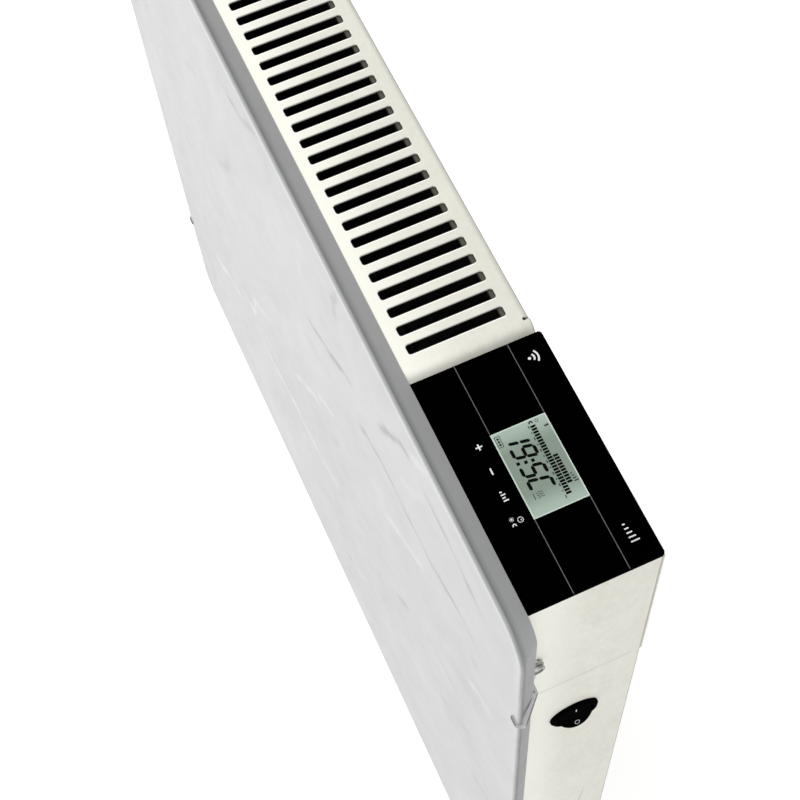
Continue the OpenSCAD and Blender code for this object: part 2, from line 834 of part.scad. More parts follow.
module transformer() {
    color("goldenrod") on_power_board(standoff_inset, 2 * standoff_inset + transformer_h) {
        // two legs and a bobbin
        translate([0, -transformer_d, 0]) cube([transformer_w, transformer_d, transformer_h]);
        translate([transformer_w / 5, -transformer_d - board_t, transformer_h / 5])
            cube([transformer_w * 3 / 5, board_t, transformer_h * 3 / 5]);
    }
}

module power_relay() {
    color("royalblue") on_power_board(power_w - standoff_inset - relay_w, standoff_inset + relay_h)
        translate([0, -relay_d, 0]) cube([relay_w, relay_d, relay_h]);
}

module capacitors() {
    column = standoff_inset + transformer_w + board_t + cap_d / 2;
    color("black") for (i = [0, 1])
        on_power_board(column, 2 * standoff_inset + cap_d / 2 + i * (cap_d + board_t))
            rotate([90, 0, 0]) cylinder(d = cap_d, h = cap_len);
}

module radio_module() {
    drop = standoff_inset + relay_h + board_t + radio_l;
    color("silver") on_power_board(power_w - standoff_inset - radio_w, drop)
        translate([0, -radio_t, 0]) cube([radio_w, radio_t, radio_l]);
}

module board_connector() {
    color("white") on_power_board(standoff_inset + standoff_d, power_h - standoff_inset)
        translate([0, -connector_d, 0]) difference() {
            cube([connector_w, connector_d, connector_h]);
            // wire entries along the lower face
            for (i = [0:3])
                translate([connector_w * (i + 0.5) / 4, connector_d / 2, -over])
                    cylinder(d = entry_d, h = connector_h / 2 + over);
        }
}

module switch_frame() {
    housing_frame() translate([half_w, switch_y, switch_z]) children();
}

module switch_body() {
    color(black_c) switch_frame() difference() {
        union() {
            // flange with a bevelled rim
            rotate([0, 90, 0]) {
                cylinder(d = flange_d, h = flange_t / 2);
                translate([0, 0, flange_t / 2])
                    cylinder(d1 = flange_d, d2 = flange_d - flange_t, h = flange_t / 2);
            }
            // barrel through the panel
            translate([-barrel_len, 0, 0]) rotate([0, 90, 0]) cylinder(d = barrel_d, h = barrel_len);
        }
        // round well for the rocker
        translate([pivot_x - opening_depth, 0, 0]) rotate([0, 90, 0])
            cylinder(r = opening_r, h = opening_depth + pivot_depth + over);
        // pivot bores
        translate([pivot_x, -pin_reach - pivot_gap, 0]) rotate([-90, 0, 0])
            cylinder(d = pivot_d + 2 * pivot_gap, h = 2 * (pin_reach + pivot_gap));
        // blade slots in the barrel's end
        for (s = [-1, 1])
            translate([-barrel_len - over, -blade_w / 2 - seat, s * barrel_d / 4 - blade_t / 2 - seat])
                cube([over + blade_len / 4, blade_w + 2 * seat, blade_t + 2 * seat]);
    }
}

// Side view of the level rocker: X outwards from the pivot, Y along the rocker
module rocker_profile() {
    half = rocker_d / 2;
    polygon(concat(
        [[-rocker_depth, -half * 0.8], [0, -half]],
        [for (i = [0:dish_steps]) let (s = 2 * i / dish_steps - 1) [rocker_rise - rocker_dip * (1 - s * s), s * half]],
        [
            [0, half],
            [-rocker_depth, half * 0.8],
            [-rocker_depth, pivot_d],
            [-2 * rocker_depth, pivot_d / 2],
            [-2 * rocker_depth, -pivot_d / 2],
            [-rocker_depth, -pivot_d]
        ]
    ));
}

module switch_rocker() {
    color(black_c) switch_frame() translate([pivot_x, 0, 0]) {
        // the lower half stands out
        rotate([0, -rocker_tilt, 0]) intersection() {
            translate([0, rocker_d / 2, 0]) rotate([90, 0, 0]) linear_extrude(rocker_d) rocker_profile();
            translate([-3 * rocker_depth, 0, 0]) rotate([0, 90, 0])
                cylinder(d = rocker_d, h = 3 * rocker_depth + 2 * rocker_rise);
        }
        // pivot pins
        translate([0, -pin_reach, 0]) rotate([-90, 0, 0]) cylinder(d = pivot_d, h = 2 * pin_reach);
    }
}

module switch_terminals() {
    color("gold") switch_frame() for (s = [-1, 1])
        translate([-barrel_len - blade_len, -blade_w / 2, s * barrel_d / 4 - blade_t / 2])
            cube([blade_len * 5 / 4, blade_w, blade_t]);
}

module element_frame() {
    housing_frame() translate([0, in_mid, element_z]) children();
}

module convector_element() {
    color("silver") element_frame() {
        // two legs joined by a half turn at the left
        for (s = [-1, 1]) translate([-leg_end, 0, s * leg_pitch / 2]) rotate([0, 90, 0])
            cylinder(d = tube_d, h = 2 * leg_end);
        translate([-leg_end, 0, 0]) rotate([90, 0, 0]) rotate([0, 0, 90]) rotate_extrude(angle = 180)
            translate([leg_pitch / 2, 0]) circle(d = tube_d);
        for (i = [0:fin_count - 1])
            translate([(i - (fin_count - 1) / 2) * fin_pitch - fin_t / 2, 0, 0])
                rotate([90, 0, 90]) linear_extrude(fin_t) round_rect(fin_d, fin_h, fin_r);
    }
}

// Bracket at the right end: a web with two holes and a foot on the rear panel
module element_bracket() {
    depth = in_back - in_mid;
    web_h = leg_pitch + 2 * bush_r + 2 * bracket_gap;
    element_frame() difference() {
        union() {
            box([bracket_x, -bush_r - bracket_gap / 2, -web_h / 2], [bracket_x + bracket_t, depth, web_h / 2]);
            box([bracket_x, depth - bracket_t, -web_h / 2], [bracket_x + bracket_foot, depth, web_h / 2]);
        }
        for (s = [-1, 1]) translate([bracket_x - over, 0, s * leg_pitch / 2]) rotate([0, 90, 0])
            cylinder(r = bush_r + seat / 2, h = bracket_t + 2 * over);
    }
}

module element_bracket_left() {
    color(steel_c) mirror([1, 0, 0]) element_bracket();
}

module element_bracket_right() {
    color(steel_c) element_bracket();
}

module ceramic_bushes() {
    color("white") element_frame() for (side = [0, 1], s = [-1, 1]) mirror([side, 0, 0])
        translate([bracket_x + bracket_t, 0, s * leg_pitch / 2]) rotate([0, 90, 0]) difference() {
            union() {
                translate([0, 0, seat / 2]) cylinder(r = bush_r + bush_collar, h = bush_collar);
                translate([0, 0, -bracket_t - bush_collar])
                    cylinder(r = bush_r, h = bush_len - bracket_t);
            }
            translate([0, 0, -bush_len]) cylinder(d = tube_d + seat, h = 3 * bush_len);
        }
}

module element_studs() {
    color("gold") element_frame() for (s = [-1, 1])
        translate([leg_end, 0, s * leg_pitch / 2]) rotate([0, 90, 0]) {
            cylinder(d = stud_d, h = stud_len);
            translate([0, 0, stud_len / 2]) cylinder(d = 2 * stud_d, h = stud_d * 3 / 4, $fn = 6);
        }
}

module cutout_frame() {
    element_frame() translate([bracket_x - fin_pitch * 4, 0, cutout_rise]) children();
}

module thermal_cutout() {
    color(black_c) cutout_frame() {
        cylinder(d = cutout_d, h = cutout_t);
        for (s = [-1, 1]) translate([s * cutout_d / 4 - blade_t / 2, -blade_w / 2, cutout_t])
            cube([blade_t, blade_w, blade_len]);
    }
}

module cutout_bracket() {
    depth = in_back - in_mid;
    color(steel_c) cutout_frame() {
        box([-cutout_d / 2, -cutout_d / 2, -bracket_t], [cutout_d / 2, depth, 0]);
        box([-cutout_d / 2, depth - bracket_t, 0], [cutout_d / 2, depth, cutout_d]);
    }
}

module gland_frame() {
    housing_frame() translate([gland_x, in_mid, -body_h]) children();
}

module cable_gland() {
    color(black_c) gland_frame() difference() {
        union() {
            cylinder(r = gland_r, h = gland_thread + sheet_t);
            translate([0, 0, -gland_len / 2]) cylinder(r = gland_r * 1.3, h = gland_len / 2, $fn = 6);
            translate([0, 0, -gland_len])
                cylinder(r1 = gland_r * 0.9, r2 = gland_r * 1.1, h = gland_len / 2);
        }
        translate([0, 0, -gland_len - over])
            cylinder(d = gland_bore, h = gland_len + gland_thread + sheet_t + 2 * over);
    }
}

module gland_nut() {
    color(black_c) gland_frame() translate([0, 0, sheet_t]) difference() {
        cylinder(r = gland_r * 1.4, h = gland_nut_t, $fn = 6);
        translate([0, 0, -over]) cylinder(r = gland_r + seat / 2, h = gland_nut_t + 2 * over);
    }
}

module terminal_block() {
    color("white") housing_frame()
        translate([gland_x - block_w / 2, in_back - block_d, -body_h + block_rise]) difference() {
            cube([block_w, block_d, block_h]);
            for (i = [0:2]) translate([block_w * (i + 0.5) / 3, block_d / 2, -over])
                cylinder(d = block_d / 3, h = block_h + 2 * over);
            for (i = [0:2]) translate([block_w * (i + 0.5) / 3, block_d / 2, block_h / 2])
                rotate([90, 0, 0]) cylinder(d = block_d / 3, h = block_d);
        }
}

module room_sensor() {
    color("white") housing_frame() translate([half_w - gland_right, in_back - bracket_t, -body_h + sheet_t]) {
        // clip on the rear panel
        translate([-tube_d / 2, 0, 0]) cube([tube_d, bracket_t, 2 * tube_d]);
        // bead of the thermistor
        translate([0, -stud_d / 2, stud_d / 2]) cylinder(d = stud_d, h = 2 * tube_d - stud_d);
    }
}

module earth_stud() {
    color("gold") housing_frame() translate([half_w - gland_right - block_w, in_back, -body_h + block_rise]) {
        rotate([90, 0, 0]) cylinder(d = stud_d, h = stud_len);
        translate([0, -stud_d / 4, 0]) rotate([90, 0, 0]) cylinder(d = 2 * stud_d, h = stud_d * 3 / 4, $fn = 6);
    }
}

// One straight stretch of wire, along an axis
module wire_stretch(a, b) {
    d = b - a;
    turn = d.x != 0 ? [0, sign(d.x) * 90, 0] : d.y != 0 ? [-sign(d.y) * 90, 0, 0] : [d.z < 0 ? 180 : 0, 0, 0];
    translate(a) rotate(turn) cylinder(d = harness_d, h = norm(d));
}

// A wire through a list of corners
module wire_route(p) {
    for (i = [0:len(p) - 2]) wire_stretch(p[i], p[i + 1]);
    for (i = [1:len(p) - 2]) translate(p[i]) sphere(d = harness_d);
}

module harness_wires() {
    step = harness_step;
    block_top = -body_h + block_rise + block_h;
    entry_y = in_back - block_d / 2;
    entry_z = block_top - block_h / 3;
    entry_x = [for (i = [0:2]) gland_x - block_w / 2 + block_w * (i + 0.5) / 3];
    blade_x = half_w - barrel_len - blade_len;
    blade_z = [switch_z - barrel_d / 4, switch_z + barrel_d / 4];
    cut_x = bracket_x - fin_pitch * 4;
    cut_z = element_z + cutout_rise + cutout_t + blade_len;
    stud_x = leg_end + stud_len / 2;
    stud_z = [element_z - leg_pitch / 2, element_z + leg_pitch / 2];
    connector_x = power_x - power_w / 2 + standoff_inset + standoff_d + connector_w * 3.5 / 4;
    connector_y = power_y - board_t - connector_d / 2;
    connector_z = power_top - power_h + standoff_inset;
    color("firebrick") housing_frame() {
        // switch to the terminal block
        wire_route([
            [blade_x, switch_y, blade_z[1]],
            [blade_x - step, switch_y, blade_z[1]],
            [blade_x - step, entry_y, blade_z[1]],
            [blade_x - step, entry_y, block_top + step],
            [entry_x[2], entry_y, block_top + step],
            [entry_x[2], entry_y, entry_z]
        ]);
        // switch to the thermal cut-out
        wire_route([
            [blade_x, switch_y, blade_z[0]],
            [blade_x - 2 * step, switch_y, blade_z[0]],
            [blade_x - 2 * step, in_mid, blade_z[0]],
            [blade_x - 2 * step, in_mid, cut_z + 2 * step],
            [cut_x - cutout_d / 4, in_mid, cut_z + 2 * step],
            [cut_x - cutout_d / 4, in_mid, cut_z]
        ]);
        // thermal cut-out to the upper stud
        wire_route([
            [cut_x + cutout_d / 4, in_mid, cut_z],
            [cut_x + cutout_d / 4, in_mid, cut_z + step],
            [stud_x, in_mid, cut_z + step],
            [stud_x, in_mid, stud_z[1] + stud_d + seat]
        ]);
        // lower stud to the terminal block
        wire_route([
            [leg_end + stud_len, in_mid, stud_z[0]],
            [leg_end + stud_len + step, in_mid, stud_z[0]],
            [leg_end + stud_len + step, in_mid, block_top + step],
            [entry_x[0], in_mid, block_top + step],
            [entry_x[0], entry_y, block_top + step],
            [entry_x[0], entry_y, entry_z]
        ]);
        // power board to the terminal block
        wire_route([
            [connector_x, connector_y, connector_z + connector_h / 3],
            [connector_x, connector_y, -module_h - step],
            [connector_x, entry_y, -module_h - step],
            [entry_x[1], entry_y, -module_h - step],
            [entry_x[1], entry_y, entry_z]
        ]);
    }
}

// Plan of a clip's hook: X outwards from the housing's end, Y as in the housing's frame
module clip_plan() {
    back_x = side_overhang - slab_undercut;
    bend_c = [side_overhang - slab_arris_r - clip_bend_r / 4, face_y - clip_face_t + clip_bend_r];
    tip_x = side_overhang - clip_reach;
    difference() {
        polygon(concat(
            [[0, -body_d], [0, -body_d + clip_root]],
            arc([back_x - clip_shoulder_r, -body_d + clip_root - clip_shoulder_r], clip_shoulder_r, 90, 45, 4),
            arc(bend_c, clip_bend_r, 45, -90, 10),
            arc([tip_x, face_y - clip_face_t / 2], clip_face_t / 2, 270, 90, 6),
            [[back_x / 2, -body_d - slab_t / 2]]
        ));
        // the slab's own outline, and the housing behind it
        translate([side_overhang - slab_corner_r, -body_d]) mirror([0, 1])
            slab_profile(slab_corner_r + seat / 4, slab_t + seat / 4);
        // small tooling hole in the shoulder
        translate([back_x - clip_shoulder_r, -body_d + clip_root / 2]) circle(d = clip_t / 3);
    }
}

module clip() {
    translate([0, 0, -clip_t]) linear_extrude(clip_t) clip_plan();
    // leg on the housing's end, behind the slab
    difference() {
        box([0, -body_d, -clip_t], [clip_leg_t, -body_d + clip_leg_w, clip_leg_h]);
        translate([-over, knob_y, knob_z]) rotate([0, 90, 0])
            cylinder(d = screw_d + seat, h = clip_leg_t + 2 * over);
    }
}

// Copies of a child at the four clip places, drawn for the right end
module at_clips() {
    housing_frame() for (side = [0, 1], z = clip_pos_z)
        mirror([side, 0, 0]) translate([half_w, 0, z]) children();
}

module slab_clips() {
    color("darkgray") at_clips() clip();
}

module clip_screws() {
    color("silver") at_clips() translate([clip_leg_t, knob_y, knob_z]) rotate([0, 90, 0]) {
        cylinder(d = knob_d, h = knob_t);
        translate([0, 0, knob_t]) cylinder(d1 = knob_d / 2, d2 = knob_d / 3, h = knob_t / 3);
        translate([0, 0, -clip_leg_t]) cylinder(d = screw_d, h = clip_leg_t);
    }
}

module wall_rail() {
    color(steel_c) difference() {
        union() {
            box([-rail_w / 2, -rail_t, -rail_h / 2], [rail_w / 2, 0, rail_h / 2]);
            box([-rail_w / 2, -lip_out, rail_h / 2 - rail_t], [rail_w / 2, 0, rail_h / 2]);
            box([-rail_w / 2, -lip_out, rail_h / 2 - rail_t], [rail_w / 2, -lip_out + rail_t, hook_top]);
        }
        for (sx = [-1, 1], sz = [-1, 1])
            translate([sx * hole_x, over, sz * hole_span_h / 2]) rotate([90, 0, 0])
                cylinder(d = wall_hole_d, h = rail_t + 2 * over);
    }
}

module hanging_hooks() {
    tongue_y = -lip_out + rail_t + seat;
    color(steel_c) for (s = [-1, 1]) translate([s * hook_x, 0, 0]) {
        // pad on the rear panel
        box([-hook_w / 2, -wall_gap, hook_top + rail_t - hook_pad_h], [hook_w / 2, -wall_gap + rail_t, hook_top + rail_t]);
        // web that rests on the rail's lip
        box([-hook_w / 2, -wall_gap, hook_top], [hook_w / 2, tongue_y + rail_t, hook_top + rail_t]);
        // tongue behind the lip
        box([-hook_w / 2, tongue_y, hook_top - hook_tongue], [hook_w / 2, tongue_y + rail_t, hook_top + rail_t]);
    }
}

module hook_rivets() {
    color("silver") for (s = [-1, 1], t = [-1, 1])
        translate([s * hook_x + t * hook_w / 4, -wall_gap + rail_t, hook_top + rail_t - hook_pad_h * 3 / 4])
            rotate([-90, 0, 0]) cylinder(d1 = screw_head_d, d2 = screw_head_d / 2, h = screw_head_t);
}

module spacer_frame() {
    housing_frame() for (s = [-1, 1])
        translate([s * spacer_x, 0, -body_h + spacer_rise]) rotate([-90, 0, 0]) children();
}

module lower_spacers() {
    color(cream_c) spacer_frame() cylinder(d1 = spacer_d, d2 = spacer_d * 0.8, h = wall_gap - foot_t);
}

module spacer_feet() {
    color(black_c) spacer_frame() translate([0, 0, wall_gap - foot_t])
        cylinder(d = spacer_d * 0.8, h = foot_t);
}

front_slab();
slab_heating_wire();
slab_insulation_board();
front_carrier_plate();
top_grille();
bottom_grille();
left_end_plate();
right_end_plate();
rear_panel();
corner_posts();
top_support_angle();
rear_panel_screws();
control_shell();
control_back_cover();
control_cover_screws();
control_glass();
lcd_display();
touch_board();
touch_pads();
power_board();
board_standoffs();
transformer();
power_relay();
capacitors();
radio_module();
board_connector();
switch_body();
switch_rocker();
switch_terminals();
convector_element();
element_bracket_left();
element_bracket_right();
ceramic_bushes();
element_studs();
thermal_cutout();
cutout_bracket();
cable_gland();
gland_nut();
terminal_block();
room_sensor();
earth_stud();
harness_wires();
slab_clips();
clip_screws();
wall_rail();
hanging_hooks();
hook_rivets();
lower_spacers();
spacer_feet();
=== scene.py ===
"""The finished look of a wall panel convector heater with a cast-stone front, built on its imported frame."""

import math

import bmesh
import bpy
import numpy as np
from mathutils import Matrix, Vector


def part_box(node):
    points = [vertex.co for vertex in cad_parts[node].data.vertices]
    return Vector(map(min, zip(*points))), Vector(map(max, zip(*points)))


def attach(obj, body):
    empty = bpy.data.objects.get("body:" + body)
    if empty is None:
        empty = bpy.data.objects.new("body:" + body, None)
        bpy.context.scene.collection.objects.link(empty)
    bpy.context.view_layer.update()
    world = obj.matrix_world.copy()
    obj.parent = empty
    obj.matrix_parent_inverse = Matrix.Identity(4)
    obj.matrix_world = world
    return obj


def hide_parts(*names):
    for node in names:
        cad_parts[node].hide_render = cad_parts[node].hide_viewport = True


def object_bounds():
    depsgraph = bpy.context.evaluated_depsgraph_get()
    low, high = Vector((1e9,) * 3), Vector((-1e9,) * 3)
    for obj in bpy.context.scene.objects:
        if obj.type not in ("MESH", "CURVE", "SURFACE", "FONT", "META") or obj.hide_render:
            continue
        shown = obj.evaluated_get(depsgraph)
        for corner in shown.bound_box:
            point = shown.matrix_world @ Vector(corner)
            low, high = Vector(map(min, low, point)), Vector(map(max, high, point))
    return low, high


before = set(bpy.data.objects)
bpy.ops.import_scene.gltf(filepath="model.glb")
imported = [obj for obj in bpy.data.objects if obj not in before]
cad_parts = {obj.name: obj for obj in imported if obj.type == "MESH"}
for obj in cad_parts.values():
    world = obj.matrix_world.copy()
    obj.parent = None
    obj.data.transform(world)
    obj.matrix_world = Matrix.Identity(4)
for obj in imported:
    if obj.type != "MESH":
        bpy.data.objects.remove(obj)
cad_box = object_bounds()


# Camera
# The heater is looked down on from above its control end, as it would hang on a wall at the right.
# A long lens a little under a metre away keeps the slab's edges nearly parallel.
lens = bpy.data.cameras.new("camera")
lens.lens = 76.4989
lens.sensor_width = 36
lens.clip_start = 0.01
camera = bpy.data.objects.new("camera", lens)
camera.location = (0.411372, -0.174018, 0.691228)
camera.rotation_euler = [math.radians(turn) for turn in (26.8711, 2.4576, 65.8801)]
bpy.context.scene.collection.objects.link(camera)
bpy.context.scene.camera = camera


# Floor and studio light
# A pale floor lies 150 mm under the heater, the height at which such a heater hangs.
# Large soft lamps and a pale room light it, with the stronger lamp at the front and the left.
class Socket:
    """An output of a material's node. Sums and products with numbers or sockets add Math nodes."""

    def __init__(self, tree, output):
        self.tree = tree
        self.output = output

    def node(self, kind, settings, sockets, pick=0):
        """Adds a node: its settings first, then each socket's value or link. Returns output number pick."""
        added = self.tree.nodes.new("ShaderNode" + kind)
        for name, value in settings.items():
            if name == "stops":
                set_stops(added.color_ramp, value)
            else:
                setattr(added, name, value)
        for name, value in sockets.items():
            if isinstance(value, Socket):
                self.tree.links.new(value.output, added.inputs[name])
            else:
                added.inputs[name].default_value = value
        return Socket(self.tree, added.outputs[pick])

    def math(self, operation, *others):
        """Adds a Math node that works on this socket and then the others."""
        return self.node("Math", {"operation": operation}, dict(enumerate((self, *others))))

    def __add__(self, other):
        return self.math("ADD", other)

    def __sub__(self, other):
        return self.math("SUBTRACT", other)

    def __rsub__(self, other):
        return (self * -1.0).math("ADD", other)

    def __mul__(self, other):
        return self.math("MULTIPLY", other)

    __radd__ = __add__
    __rmul__ = __mul__


def set_stops(colour_ramp, stops):
    """Gives a ramp its stops, each a place from 0 to 1 and a grey number or a colour."""
    while len(colour_ramp.elements) < len(stops):
        colour_ramp.elements.new(1.0)
    for element, (place, shade) in zip(colour_ramp.elements, stops):
        element.position = place
        element.color = (*shade, 1.0) if isinstance(shade, tuple) else (shade, shade, shade, 1.0)


def start_finish(name):
    """A new material with nothing in it but Object coordinates, on which its patterns lie."""
    finish = bpy.data.materials.new(name)
    finish.use_nodes = True
    finish.node_tree.nodes.clear()
    coordinates = finish.node_tree.nodes.new("ShaderNodeTexCoord")
    return finish, Socket(finish.node_tree, coordinates.outputs["Object"])


def end_finish(place, sockets):
    """Ends a material in a Principled shader with these sockets."""
    shader = place.node("BsdfPrincipled", {}, sockets)
    end = place.tree.nodes.new("ShaderNodeOutputMaterial")
    place.tree.links.new(shader.output, end.inputs["Surface"])


def clouds(place, size, detail=3.0, roughness=0.5):
    """Cloudy noise from 0 to 1 whose largest clouds are about size metres across."""
    sockets = {"Vector": place, "Scale": 1.0 / size, "Detail": detail, "Roughness": roughness}
    return place.node("TexNoise", {}, sockets)


def ramp(value, *stops):
    """A value turned into a grey or a colour by stops along it."""
    return value.node("ValToRGB", {"stops": stops}, {0: value})


def cloudy(place, size, low, high, detail=3.0, roughness=0.5):
    """Clouds turned into greys or colours, held at low under 0.3 and at high over 0.7."""
    return ramp(clouds(place, size, detail, roughness), (0.3, low), (0.7, high))


def mix(share, first, second):
    """A colour that goes from first to second, a Mix node's sockets 6 and 7, as share goes from 0 to 1."""
    ends = [(*c, 1.0) if isinstance(c, tuple) else c for c in (first, second)]
    return share.node("Mix", {"data_type": "RGBA"}, {0: share, 6: ends[0], 7: ends[1]}, pick=2)


def bump(height, depth, strength=1.0):
    """The surface normal of a height pattern from 0 to 1 that is depth metres deep."""
    return height.node("Bump", {}, {"Height": height, "Distance": depth, "Strength": strength})


def coordinate(place, axis):
    """One coordinate of a place or a direction: 0 is x, 1 is y and 2 is z."""
    return place.node("SeparateXYZ", {}, {"Vector": place}, pick=axis)


floor_drop = 0.15
floor_half = 4.0
floor_z = cad_box[0].z - floor_drop
floor_mesh = bpy.data.meshes.new("floor")
quadrants = ((-1, -1), (1, -1), (1, 1), (-1, 1))
floor_mesh.from_pydata([(x * floor_half, y * floor_half, floor_z) for x, y in quadrants], [], [(0, 1, 2, 3)])
floor = bpy.data.objects.new("floor", floor_mesh)
bpy.context.scene.collection.objects.link(floor)
floor_finish, place = start_finish("pale_floor")
end_finish(place, {
    "Base Color": cloudy(place, 0.4, 0.86, 0.9),
    "Roughness": 0.9,
    "Emission Color": (1.0, 1.0, 1.0, 1.0),
    "Emission Strength": 0.48,
})
floor_mesh.materials.append(floor_finish)

room = bpy.data.worlds.new("room")
room.use_nodes = True
backdrop = room.node_tree.nodes["Background"]
direction = Socket(room.node_tree, room.node_tree.nodes.new("ShaderNodeTexCoord").outputs["Generated"])
room_light = ramp(coordinate(direction, 2), (0.0, 0.62), (0.35, 0.55), (0.75, 0.06))
room.node_tree.links.new(room_light.output, backdrop.inputs["Color"])
backdrop.inputs["Strength"].default_value = 1.0
bpy.context.scene.world = room
bpy.context.scene.view_settings.view_transform = "Standard"


def add_lamp(name, place, aim, size, power):
    """A square soft lamp at a place, turned towards the point that it is aimed at."""
    light = bpy.data.lights.new(name, "AREA")
    light.shape = "SQUARE"
    light.size = size
    light.energy = power
    lamp = bpy.data.objects.new(name, light)
    lamp.location = place
    lamp.rotation_euler = (Vector(aim) - Vector(place)).to_track_quat("-Z", "Y").to_euler()
    lamp.visible_camera = False
    bpy.context.scene.collection.objects.link(lamp)


lamp_aim = (0.0, -0.045, -0.1)
add_lamp("front_lamp", (-0.78, -0.76, 0.8), lamp_aim, 0.6, 9.0)
add_lamp("top_lamp", (0.35, -0.4, 2.4), lamp_aim, 1.5, 39.0)
add_lamp("end_lamp", (2.3, -0.35, 0.6), lamp_aim, 1.2, 8.0)


# Cast-stone slab
# The front is a slab cast from ground marble in a slate-faced mould, so its face has low cleft ledges.
# Its edge slopes in towards the housing and is a darker grey, with a dark line of painted shade along the
# arris.
def sheet_faces(rows, columns, first):
    """Corner numbers of the quads of a grid of points, numbered row by row from first."""
    corner = first + (np.arange(rows - 1)[:, None] * columns + np.arange(columns - 1)).ravel()
    return np.stack([corner, corner + 1, corner + columns + 1, corner + columns], axis=1)


def make_piece(name, grids, crease=40.0, marks=()):
    """A mesh from grids of points, welded where they meet, its faces turned outwards.

    marks pairs the name of an attribute with one array per grid, a value for each point.
    """
    firsts = np.cumsum([0] + [grid.size // 3 for grid in grids])
    faces = [sheet_faces(*grid.shape[:2], first) for grid, first in zip(grids, firsts)]
    points = np.concatenate([grid.reshape(-1, 3) for grid in grids])
    mesh = bpy.data.meshes.new(name)
    mesh.from_pydata(points.tolist(), [], np.concatenate(faces).tolist())
    for mark_name, values in marks:
        mark = mesh.attributes.new(mark_name, "FLOAT", "POINT")
        mark.data.foreach_set("value", np.concatenate([v.ravel() for v in values]).astype(np.float32))
    shape = bmesh.new()
    shape.from_mesh(mesh)
    bmesh.ops.remove_doubles(shape, verts=shape.verts, dist=2e-7)
    bmesh.ops.dissolve_degenerate(shape, edges=shape.edges, dist=1e-8)
    bmesh.ops.recalc_face_normals(shape, faces=shape.faces)
    shape.to_mesh(mesh)
    shape.free()
    mesh.shade_smooth()
    mesh.set_sharp_from_angle(angle=math.radians(crease))
    piece = bpy.data.objects.new(name, mesh)
    bpy.context.scene.collection.objects.link(piece)
    return piece


def cloud_field(u, w, size, seed):
    """Smooth noise from -1 to 1 over arrays u and w: random corners size apart, eased in between."""
    corners = np.random.default_rng(seed).uniform(-1, 1, (64, 64))
    u, w = u / size + 20, w / size + 20
    iu, iw = np.floor(u).astype(int), np.floor(w).astype(int)
    fu, fw = [f * f * (3 - 2 * f) for f in (u - iu, w - iw)]
    near = corners[iu % 64, iw % 64] * (1 - fu) + corners[(iu + 1) % 64, iw % 64] * fu
    far = corners[iu % 64, (iw + 1) % 64] * (1 - fu) + corners[(iu + 1) % 64, (iw + 1) % 64] * fu
    return near * (1 - fw) + far * fw


slab_low, slab_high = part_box("front_slab")
slab_half = 0.25
slab_corner = 0.017
slab_undercut = 0.0076
slab_arris = 0.001
slab_t = slab_high.y - slab_low.y
slab_middle = (slab_low + slab_high) / 2
straight_half = slab_half - slab_corner
grain_turn = math.radians(52)
cleft_depth = 0.0005
face_cells = 258
ledge_round = 0.0012
ledge_fall = 0.014
# Main ledges of the cleft face: each a height, then the points in millimetres that it runs through.
# A ledge that faces the lamp has a height above zero and a shaded one a height below it; above zero it also
# gets a painted highlight, below zero a painted shade.
ledges = [
    (-0.30, (-62, 95), (-37, 100), (-20, 104), (-9, 114), (6, 121)),
    (-0.28, (76, 86), (78, 104), (87, 122)),
    (-0.40, (116, 59), (128, 79), (143, 95), (152, 99)),
    (-0.36, (158, 92), (188, 94), (204, 89), (222, 87)),
    (-0.50, (28, 16), (42, 22), (62, 31), (78, 44), (93, 50)),
    (-0.50, (85, 8), (98, 20), (114, 26), (141, 25), (165, 25), (182, 31), (196, 37), (220, 34)),
    (-0.16, (8, -18), (48, -8), (56, 4)),
    (-0.20, (-102, -29), (-82, -9), (-68, 13)),
    (-0.15, (-126, 21), (-116, 34), (-102, 38)),
    (-0.28, (113, -146), (122, -132), (131, -120)),
    (-0.28, (170, -158), (182, -148)),
    (-0.16, (150, -104), (166, -94), (186, -95)),
    (-0.20, (24, -297), (33, -280)),
    (-0.18, (15, -335), (29, -323)),
    (-0.15, (80, -326), (98, -320), (132, -323)),
    (-0.18, (-232, -123), (-208, -108)),
    (-0.15, (-181, -112), (-155, -90)),
    (-0.18, (205, 5), (213, 16)),
    (-0.16, (34, -106), (50, -83)),
    (-0.16, (-32, -242), (-18, -224)),
    (-0.20, (-96, -187), (-75, -197), (-56, -193), (-34, -183)),
    (0.40, (-206, -250), (-172, -239), (-156, -224), (-140, -217), (-117, -205)),
    (0.40, (-124, -185), (-100, -181), (-94, -172), (-89, -155), (-72, -139), (-56, -125)),
    (0.42, (-119, -209), (-98, -203), (-75, -205), (-54, -200), (-30, -194), (-8, -194), (7, -188),
     (25, -181), (38, -165)),
    (0.36, (-26, -134), (-15, -121), (-5, -109), (8, -97), (32, -80)),
    (0.30, (20, -77), (34, -64), (52, -54)),
    (0.36, (109, -46), (119, -33), (132, -24), (148, -14), (161, 2)),
    (0.30, (203, -34), (213, -22), (230, -16)),
    (0.25, (173, -61), (186, -42)),
    (0.26, (133, 46), (144, 61), (158, 72), (166, 88)),
    (0.38, (151, 101), (165, 118), (190, 123)),
    (0.20, (28, 54), (34, 68)),
    (0.16, (32, 82), (42, 96)),
    (0.16, (-102, -42), (-93, -31)),
    (0.20, (37, -286), (53, -262), (64, -250)),
    (0.15, (-119, -233), (-86, -221)),
    (-0.40, (-205, 58), (-184, 66), (-162, 82)),
    (0.36, (-236, 8), (-212, 24), (-190, 34)),
    (-0.32, (-144, 94), (-120, 106)),
    (0.34, (196, -268), (212, -250), (234, -240)),
    (-0.30, (204, -186), (226, -168)),
    (0.30, (190, -340), (214, -330), (232, -312)),
]


